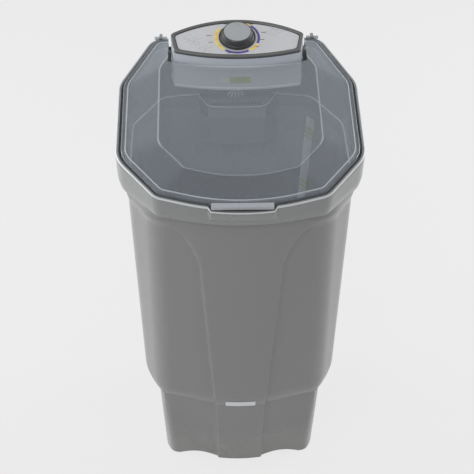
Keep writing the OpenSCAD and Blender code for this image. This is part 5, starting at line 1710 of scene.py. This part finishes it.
    def pocket_lip(self) -> bpy.types.Object:
        """Rounded lip of the filter pocket, near-white as a painted highlight: a flat oval profile swept
        along the trapezoid of its mouth.

        Returns:
            The lip.
        """
        front = self.filter_front_y
        corners = np.array([[-97, 246], [-77, 197], [-65, front], [65, front], [77, 197], [97, 246]], float)
        reach = (0, 7.0, 12.0, 12.0, 7.0, 0)
        line = [corners[:1]]
        t = np.linspace(0, 1, 9)[:, None]
        for i in range(1, 5):
            a, c, b = corners[i - 1], corners[i], corners[i + 1]
            p = c + (a - c) / np.linalg.norm(a - c) * reach[i]
            q = c + (b - c) / np.linalg.norm(b - c) * reach[i]
            if i == 3:
                x = np.linspace(-52, 52, 23)[1:-1]
                line.append(np.column_stack([x, np.full(len(x), front)]))
            line.append(curve(p, c, q, t))
        path = np.concatenate([*line, corners[-1:]])
        path[:, 1] -= self.filter_bow * np.clip(1 - (path[:, 0] / self.filter_front_half) ** 2, 0, 1)
        side = across_line(path)
        w, z = circle(16), S.mouth_h + self.filter_lip_up
        height = z + self.filter_lip_h * np.sin(w)
        rings = [np.column_stack([p + self.filter_lip_w * np.outer(np.cos(w), n), height])
                 for p, n in zip(path, side)]
        return skin("filter_lip", np.stack(rings))

    def make(self) -> None:
        """Makes and dresses the tub, the seal and the lid."""
        self.add(self.tub(), "rim_moulded", "frame", "rim_grey", ["tub"])
        # The ledge bead, the rim's line and the filter pocket's lip are painted highlights.
        self.add(self.bead(), "painted_highlight_bead", "frame", "rim_grey")
        self.add(self.rim_line(), "painted_highlight_line", "frame", "rim_grey")
        self.add(self.pocket_lip(), "painted_highlight_bead", "frame", "filter_dark")
        self.add(self.seal(), "seal_rubber", "frame", "seal_black", ["rim_seal"])
        self.add(self.lid(), "lid_clear", "lid_body", "lid_clear", ["lid"])
        self.add(self.crest(), "lid_crest", "lid_body", "lid_clear")
        self.add(self.edge(), "lid_edge", "lid_body", "lid_clear")
        for knuckle in self.knuckles():
            self.add(knuckle, "lid_edge", "lid_body", "lid_clear")
        self.add(self.tab(), "tab_moulded", "lid_body", "handle_grey", ["lid_handle"])
        self.paint("rim_moulded", "hinge_brackets", "hinge_pins")
        self.paint("level_label", "level_strip")
        self.paint("pocket_moulded", "filter_pocket")
        self.paint("filter_moulded", "lint_filter")
        self.paint("zinc", "pocket_screws", "drain_strainer")


# Console


@dataclass
class Console(Assembly):
    """Lens-shaped console: housing, olive frame, silver panel with its printing, knob and spray."""

    # Frame's width and height over the panel, and the silver plate's top
    frame_w: float = 9.0
    frame_h: float = 7.0
    plate_z: float = 4.2

    # Lens: points on each arc and round the whole outline, and what the front arc stops short of
    arc_points: ClassVar[int] = 61
    lens_points: ClassVar[int] = 240
    front_short: ClassVar[float] = 1.5
    corner_clear: ClassVar[float] = 1.2

    # Skirt's lip: the furthest that it reaches back, in front of the rim's notch
    skirt_back: float = 244.0

    # Printing: the dial's radius, its band and dots, and the widths of bars and loops
    dial_r: float = 50.4
    dial_w: float = 6.0
    dot_r: float = 2.1
    dot_h: float = 0.26
    bar_w: float = 1.7
    loop_w: float = 0.7
    ink_h: float = 0.16
    loop_low: float = 16.0
    loop_high: float = 108.0

    @staticmethod
    def arc_radius(half: float, bulge: float) -> float:
        """Radius of an arc from its half width and its bulge."""
        return (half ** 2 + bulge ** 2) / (2 * bulge)

    @staticmethod
    def lens(g: float, c: float = 1.0, corner: float = 7.0) -> np.ndarray:
        """Lens outline grown by g: front arc, side, rear arc, and rounded corners between them.

        Args:
            g: growth, negative for inwards.
            c: 1 on the sloping panel, and the slope's cosine in plan.
            corner: how far each rounding reaches from its corner.

        Returns:
            Rows of x and y, counter-clockwise, with y from 0 at the panel's front.
        """
        rf = Console.arc_radius(S.half_front, S.front_bulge * c)
        rr = Console.arc_radius(S.half_rear, S.rear_bulge * c)
        deep = S.panel_d * c
        xf, xr = S.half_front + g - Console.front_short, S.half_rear + g
        front_x = np.linspace(-xf, xf, Console.arc_points)
        front = np.column_stack([front_x, rf - np.sqrt((rf + g) ** 2 - front_x ** 2)])
        rear_x = np.linspace(xr, -xr, Console.arc_points)
        rear = np.column_stack([rear_x, deep - rr + np.sqrt((rr + g) ** 2 - rear_x ** 2)])

        def turn(a: np.ndarray, c0: np.ndarray, b: np.ndarray) -> np.ndarray:
            """Quadratic curve round the corner c0 between points towards a and b.

            Args:
                a: point on the side before the corner.
                c0: the corner.
                b: point on the side after it.

            Returns:
                Rows of x and y.
            """
            p = c0 + (a - c0) / np.linalg.norm(a - c0) * corner
            q = c0 + (b - c0) / np.linalg.norm(b - c0) * corner
            return curve(p, c0, q, np.linspace(0, 1, 9)[:, None])

        def between(arc: np.ndarray) -> np.ndarray:
            """The arc's points that are clear of the roundings at its ends."""
            clear = np.minimum(np.linalg.norm(arc - arc[0], axis=1), np.linalg.norm(arc - arc[-1], axis=1))
            return arc[clear > corner * Console.corner_clear]

        near, far = between(front), between(rear)
        points = np.concatenate([near, turn(near[-1], front[-1], rear[0]), turn(front[-1], rear[0], far[0]),
                                 far, turn(far[-1], rear[-1], front[0]), turn(rear[-1], front[0], near[0])])
        loop = np.vstack([points, points[:1]])
        run = np.concatenate([[0], np.cumsum(np.linalg.norm(np.diff(loop, axis=0), axis=1))])
        s = np.linspace(0, run[-1], Console.lens_points + 1)[:-1]
        return np.column_stack([np.interp(s, run, loop[:, 0]), np.interp(s, run, loop[:, 1])])

    @staticmethod
    def on_panel(points: np.ndarray) -> np.ndarray:
        """Turns panel coordinates (across, up the slope, out of it) into the machine's frame.

        Args:
            points: any array whose last axis holds the three coordinates.

        Returns:
            An array of the same shape.
        """
        a = math.radians(S.panel_slope)
        y = S.panel_front_y + points[..., 1] * math.cos(a) - points[..., 2] * math.sin(a)
        z = S.panel_front_h + points[..., 1] * math.sin(a) + points[..., 2] * math.cos(a)
        return np.stack([points[..., 0], y, z], -1)

    @staticmethod
    def clearance(gap: float) -> bpy.types.Object:
        """Upright block that the lid is cut with: the console's front arc, grown, run out to the rear.

        Args:
            gap: how far the arc is grown.

        Returns:
            The block.
        """
        r = Console.arc_radius(S.half_front, S.front_bulge * math.cos(math.radians(S.panel_slope)))
        x = np.linspace(-S.notch_half, S.notch_half, 81)
        arc = np.column_stack([x, S.panel_front_y + r - np.sqrt((r + gap) ** 2 - x ** 2)])
        outline = np.concatenate([arc, [[S.notch_half, 330], [-S.notch_half, 330]]])
        return skin("cut_console", np.stack([level(outline, 850), level(outline, 1050)]))

    def along_lens(self, profile: Profile, closed: bool, steps: int) -> Rings:
        """Rounded rings on the panel that follow the lens, from a profile of growths, heights and radii."""
        rings = [level(self.lens(g), z) for g, z, _ in profile]
        return self.on_panel(fillet(rings, [radius for _, _, radius in profile], closed, steps))

    def frame(self) -> bpy.types.Object:
        """Frame round the panel: a rounded rib on the lens outline, with a thin deck under the plate.

        Returns:
            The frame.
        """
        w, h = self.frame_w, self.frame_h
        profile = [(0.0, 0.0, 0.3), (0.0, h - 1.4, 1.2), (-1.6, h, 1.2), (-w + 2.6, h - 0.2, 1.2),
                   (-w, h - 2.2, 0.8), (-w, 3.0, 0.0)]
        return skin("panel_frame", self.along_lens(profile, False, 4))

    def knob_ring(self) -> bpy.types.Object:
        """Black ring round the knob's foot: a flattened round profile turned about the knob's axis.

        Returns:
            The ring.
        """
        w = circle(96)
        profile = [(39.6, 6.0, 0), (43.3, 6.0, 0.4), (43.3, 8.1, 0.8), (40.2, 9.4, 0.6), (39.2, 9.0, 0.2)]
        rings = [level(np.column_stack([r * np.sin(w), S.knob_v + r * np.cos(w)]), z) for r, z, _ in profile]
        stack = fillet(rings, [radius for _, _, radius in profile], True, 4)
        return skin("knob_ring", self.on_panel(stack), closed=True)

    def gasket(self) -> bpy.types.Object:
        """Black line inside the frame: a thin raised band on the lens outline.

        Returns:
            The line.
        """
        w, z = self.frame_w, self.plate_z
        profile = [(-w + 0.6, z - 0.1, 0), (-w + 0.6, z + 1.2, 0.4), (-w - 1.5, z + 0.5, 0.3),
                   (-w - 1.5, z - 0.1, 0)]
        return skin("panel_gasket", self.along_lens(profile, True, 3), closed=True)

    def lip(self) -> bpy.types.Object:
        """Rounded lip round the lower edge of the housing's skirt.

        Returns:
            The lip.
        """
        c = math.cos(math.radians(S.panel_slope))

        def ring(g: float, z: float) -> np.ndarray:
            """Lens in plan, grown by g, at the height z, held in front of the rim's notch.

            Args:
                g: growth of the outline.
                z: the height.

            Returns:
                Rows of x, y and z.
            """
            o = self.lens(g, c)
            o[:, 1] = np.minimum(o[:, 1] + S.panel_front_y, self.skirt_back + g)
            return level(o, z)

        z = S.console_low_h
        rings = [ring(-1.2, z + 0.4), ring(0.9, z + 0.4), ring(0.9, z + 5.0), ring(-1.2, z + 7.0)]
        return skin("console_lip", fillet(rings, [0.2, 1.0, 1.0, 0.2], True), closed=True)

    def ribbon(self, name: str, line: np.ndarray, width: float) -> bpy.types.Object:
        """Thin printed stroke: a flat band of even width along a line on the plate, closed on all sides.

        Args:
            name: the object's name.
            line: rows of across and up the slope.
            width: width of the stroke.

        Returns:
            The new object.
        """
        n = across_line(line) * width / 2
        z0, z1 = self.plate_z - 0.02, self.plate_z + self.ink_h
        corners = [(line + n, z0), (line - n, z0), (line - n, z1), (line + n, z1)]
        rings = np.stack([level(p, z) for p, z in corners], 1)
        return skin(name, self.on_panel(rings), sharp=20)

    def arc_line(self, start: float, end: float) -> np.ndarray:
        """Points round the knob's dial, from one clock angle to another, in degrees from the rear."""
        w = np.radians(np.linspace(start, end, 40))
        return np.column_stack([self.dial_r * np.sin(w), S.knob_v + self.dial_r * np.cos(w)])

    def dial(self) -> List[Tuple[bpy.types.Object, str]]:
        """Coloured arcs and dots round the knob, each with its ink.

        Returns:
            Pairs of object and ink.
        """
        out: List[Tuple[bpy.types.Object, str]] = []
        arcs = [(8, 36, "print_yellow"), (40, 112, "print_violet"), (116, 146, "print_yellow"),
                (150, 214, "print_violet"), (219, 306, "print_yellow")]
        for i, (a, b, ink) in enumerate(arcs):
            out.append((self.ribbon(f"dial_arc_{i}", self.arc_line(a, b), self.dial_w), ink))
        w = circle(24)
        for i, a in enumerate((238, 262, 286, 130, 122, 24)):
            x, y = self.arc_line(a, a)[0]
            dot = np.column_stack([x + self.dot_r * np.cos(w), y + self.dot_r * np.sin(w)])
            rings = np.stack([level(dot, self.plate_z), level(dot, self.plate_z + self.dot_h)])
            out.append((skin(f"dial_dot_{i}", self.on_panel(rings)), "print_orange"))
        return out

    def strokes(self) -> List[Tuple[bpy.types.Object, str]]:
        """Short bars in place of words and pale looping lines, each with its ink.

        Returns:
            Pairs of object and ink.
        """
        out: List[Tuple[bpy.types.Object, str]] = []
        bars = [(-62, 52, 10), (-66, 74, 12), (58, 60, 10), (62, 84, 11), (-20, 16, 9), (46, 36, 9),
                (-26, 113, 9), (34, 112, 9)]
        for i, (x, y, w) in enumerate(bars):
            line = np.column_stack([np.linspace(x - w / 2, x + w / 2, 6), np.full(6, y)])
            out.append((self.ribbon(f"dial_bar_{i}", line, self.bar_w), "print_dark"))
        t = np.linspace(0, 1, 60)
        loops = [(-122, 66, 1), (-110, 60, 1), (-98, 56, 1), (-86, 30, 1), (-72, 26, 1), (72, 92, -1),
                 (82, 88, -1), (92, 84, -1)]
        for i, (x, y, s) in enumerate(loops):
            line = np.column_stack([x + s * 9 * np.sin(2.4 * math.pi * t) + 8 * t, y - 14 + 26 * t])
            line = line[(line[:, 1] > self.loop_low) & (line[:, 1] < self.loop_high)]
            out.append((self.ribbon(f"panel_loop_{i}", line, self.loop_w), "print_line"))
        return out

    def make(self) -> None:
        """Makes and dresses the console."""
        self.add(self.frame(), "frame_olive", "frame", "frame_olive", ["console_frame"])
        self.add(self.lip(), "console_moulded", "frame", "console_grey")
        self.add(self.gasket(), "knob_flange", "frame", "frame_olive")
        self.add(self.knob_ring(), "knob_flange", "knob", "knob_dark")
        for piece, ink in (*self.dial(), *self.strokes()):
            self.add(piece, ink, "frame", "panel_silver")
        self.paint("console_moulded", "console_housing")
        self.paint("panel_silver", "panel_plate")
        self.paint("knob_skirt", "timer_knob")
        self.paint("knob_face", "knob_cap")
        self.paint("cream_plastic", "timer")
        self.paint("steel", "timer_spindle")
        self.paint("zinc", "timer_screws", "console_screws")
        self.paint("white_plastic", "water_inlet")
        self.paint("pipe_rubber", "inlet_hose")
        self.paint("spray_moulded", "water_spray")
        self.paint("console_label", "console_sticker")


@dataclass
class Drive(Assembly):
    """Agitator, shaft, pulleys, belt, motor and what is fixed beside them."""

    def make(self) -> None:
        """Dresses the drive's solids, which keep their own shapes."""
        self.paint("white_plastic", "agitator", "capacitor")
        self.paint("cap_blue", "agitator_cap")
        self.paint("zinc", "agitator_screw", "housing_screws", "motor_screws", "plate_screws", "motor_plate",
                   "capacitor_clip")
        self.paint("steel", "drive_shaft", "bearings")
        self.paint("cast_alloy", "bearing_housing", "motor_case", "motor_pulley")
        self.paint("black_rubber", "shaft_seal", "drive_belt")
        self.paint("dark_plastic", "drive_pulley", "motor_fan")
        self.paint("copper_winding", "stator")
        self.paint("rotor_iron", "motor_rotor")
        self.paint("pipe_rubber", "drain_pipe")


# Studio


@dataclass(frozen=True)
class Lamp:
    """Soft square lamp: where it hangs and what it faces, in metres, its side and its watts."""

    name: str
    place: Tuple[float, float, float]
    target: Tuple[float, float, float]
    size: float
    power: float

    def hang(self) -> None:
        """Puts the lamp into the scene."""
        data = bpy.data.lights.new(self.name, "AREA")
        data.shape, data.size, data.energy = "SQUARE", self.size, self.power
        obj = bpy.data.objects.new(self.name, data)
        bpy.context.scene.collection.objects.link(obj)
        obj.location = self.place
        obj.rotation_mode = "QUATERNION"
        obj.rotation_quaternion = (Vector(self.target) - Vector(self.place)).to_track_quat("-Z", "Y")


@dataclass
class Studio:
    """Camera at the photograph's angle, pale floor and soft light."""

    # Camera: its angles in degrees, its distance and the height that it looks at in millimetres
    pitch: float = 35.476
    turn: float = 1.7
    roll: float = 0.35
    distance: float = 3300.0
    aim_h: float = 544.8

    # Lens: its length, the picture's side and the picture's centre, in pixels
    focal_px: float = 1384.1
    frame_px: float = 474.0
    centre_px: Tuple[float, float] = (238.7, 237.0)
    film: float = 36.0

    # Floor and surroundings: what the camera sees, and what the floor sends up on to the machine
    backdrop: Colour = field(default_factory=lambda: srgb(235, 235, 235))
    floor_half: float = 14000.0
    bounce: float = 0.7
    shade: float = 0.05
    glow: float = 0.925
    sky: float = 0.85

    lamps: Tuple[Lamp, ...] = (Lamp("key", (-1.6, -2.6, 3.2), (0, 0, 0.6), 2.0, 40),
                               Lamp("right", (2.6, 1.2, 1.1), (0, 0, 0.5), 1.8, 75),
                               Lamp("left", (-2.7, 0.9, 1.1), (0, 0, 0.5), 1.8, 85))

    def camera(self) -> None:
        """Camera that looks down at the machine from the front, a little to its left."""
        data = bpy.data.cameras.new("camera")
        data.sensor_width = self.film
        data.lens = self.film * self.focal_px / self.frame_px
        data.shift_x = (self.frame_px / 2 - self.centre_px[0]) / self.frame_px
        data.shift_y = (self.centre_px[1] - self.frame_px / 2) / self.frame_px
        data.clip_start, data.clip_end = 0.1, 60.0
        t, a = math.radians(self.pitch), math.radians(self.turn)
        look = Vector((math.cos(t) * math.sin(a), math.cos(t) * math.cos(a), -math.sin(t)))
        obj = bpy.data.objects.new("camera", data)
        bpy.context.scene.collection.objects.link(obj)
        roll = Matrix.Rotation(math.radians(self.roll), 4, "Z")
        turn = look.to_track_quat("-Z", "Y").to_matrix().to_4x4() @ roll
        place = Vector((0, 0, self.aim_h * MM)) - look * self.distance * MM
        obj.matrix_world = Matrix.Translation(place) @ turn
        bpy.context.scene.camera = obj

    def floor(self) -> None:
        """Large pale floor that shows the backdrop's colour and keeps the machine's shadow."""
        half = self.floor_half
        verts = np.array([[-half, -half, 0], [half, -half, 0], [half, half, 0], [-half, half, 0]])
        obj = build("studio_floor", verts, np.array([[0, 1, 2, 3]]))
        mat = bpy.data.materials.new("studio_floor")
        mat.use_nodes = True
        t = mat.node_tree
        shader = t.nodes["Principled BSDF"]
        shader.inputs["Roughness"].default_value = 0.9
        shader.inputs["Specular IOR Level"].default_value = 0.0
        path = t.nodes.new("ShaderNodeLightPath")
        seen = maths(t, "MAXIMUM", path.outputs["Is Camera Ray"], path.outputs["Is Glossy Ray"])
        seen = maths(t, "MAXIMUM", seen, path.outputs["Is Transmission Ray"])
        unseen_grey, seen_grey = (*[self.bounce] * 3, 1), (*[self.shade] * 3, 1)
        join(t, mixed(t, seen, unseen_grey, seen_grey), shader.inputs["Base Color"])
        shader.inputs["Emission Color"].default_value = (*self.backdrop, 1)
        join(t, maths(t, "MULTIPLY", seen, self.glow), shader.inputs["Emission Strength"])
        obj.data.materials.append(mat)

    def world(self) -> None:
        """Pale even surroundings."""
        world = bpy.data.worlds.new("studio")
        world.use_nodes = True
        sky = world.node_tree.nodes["Background"]
        sky.inputs["Color"].default_value = (*self.backdrop, 1)
        sky.inputs["Strength"].default_value = self.sky
        bpy.context.scene.world = world

    def make(self) -> None:
        """Sets up the camera, the light and the floor."""
        bpy.context.scene.view_settings.view_transform = "Standard"
        self.camera()
        self.world()
        self.floor()
        for lamp in self.lamps:
            lamp.hang()


def main() -> None:
    """Builds every sub-assembly in order."""
    logging.basicConfig(level=logging.INFO, format="%(message)s")
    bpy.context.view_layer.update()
    Studio().make()
    palette = Palette()
    for part in (Shell(palette), TubTop(palette), Console(palette), Drive(palette)):
        LOG.info("assembly %s", type(part).__name__)
        part.make()


if __name__ == "__main__":
    main()
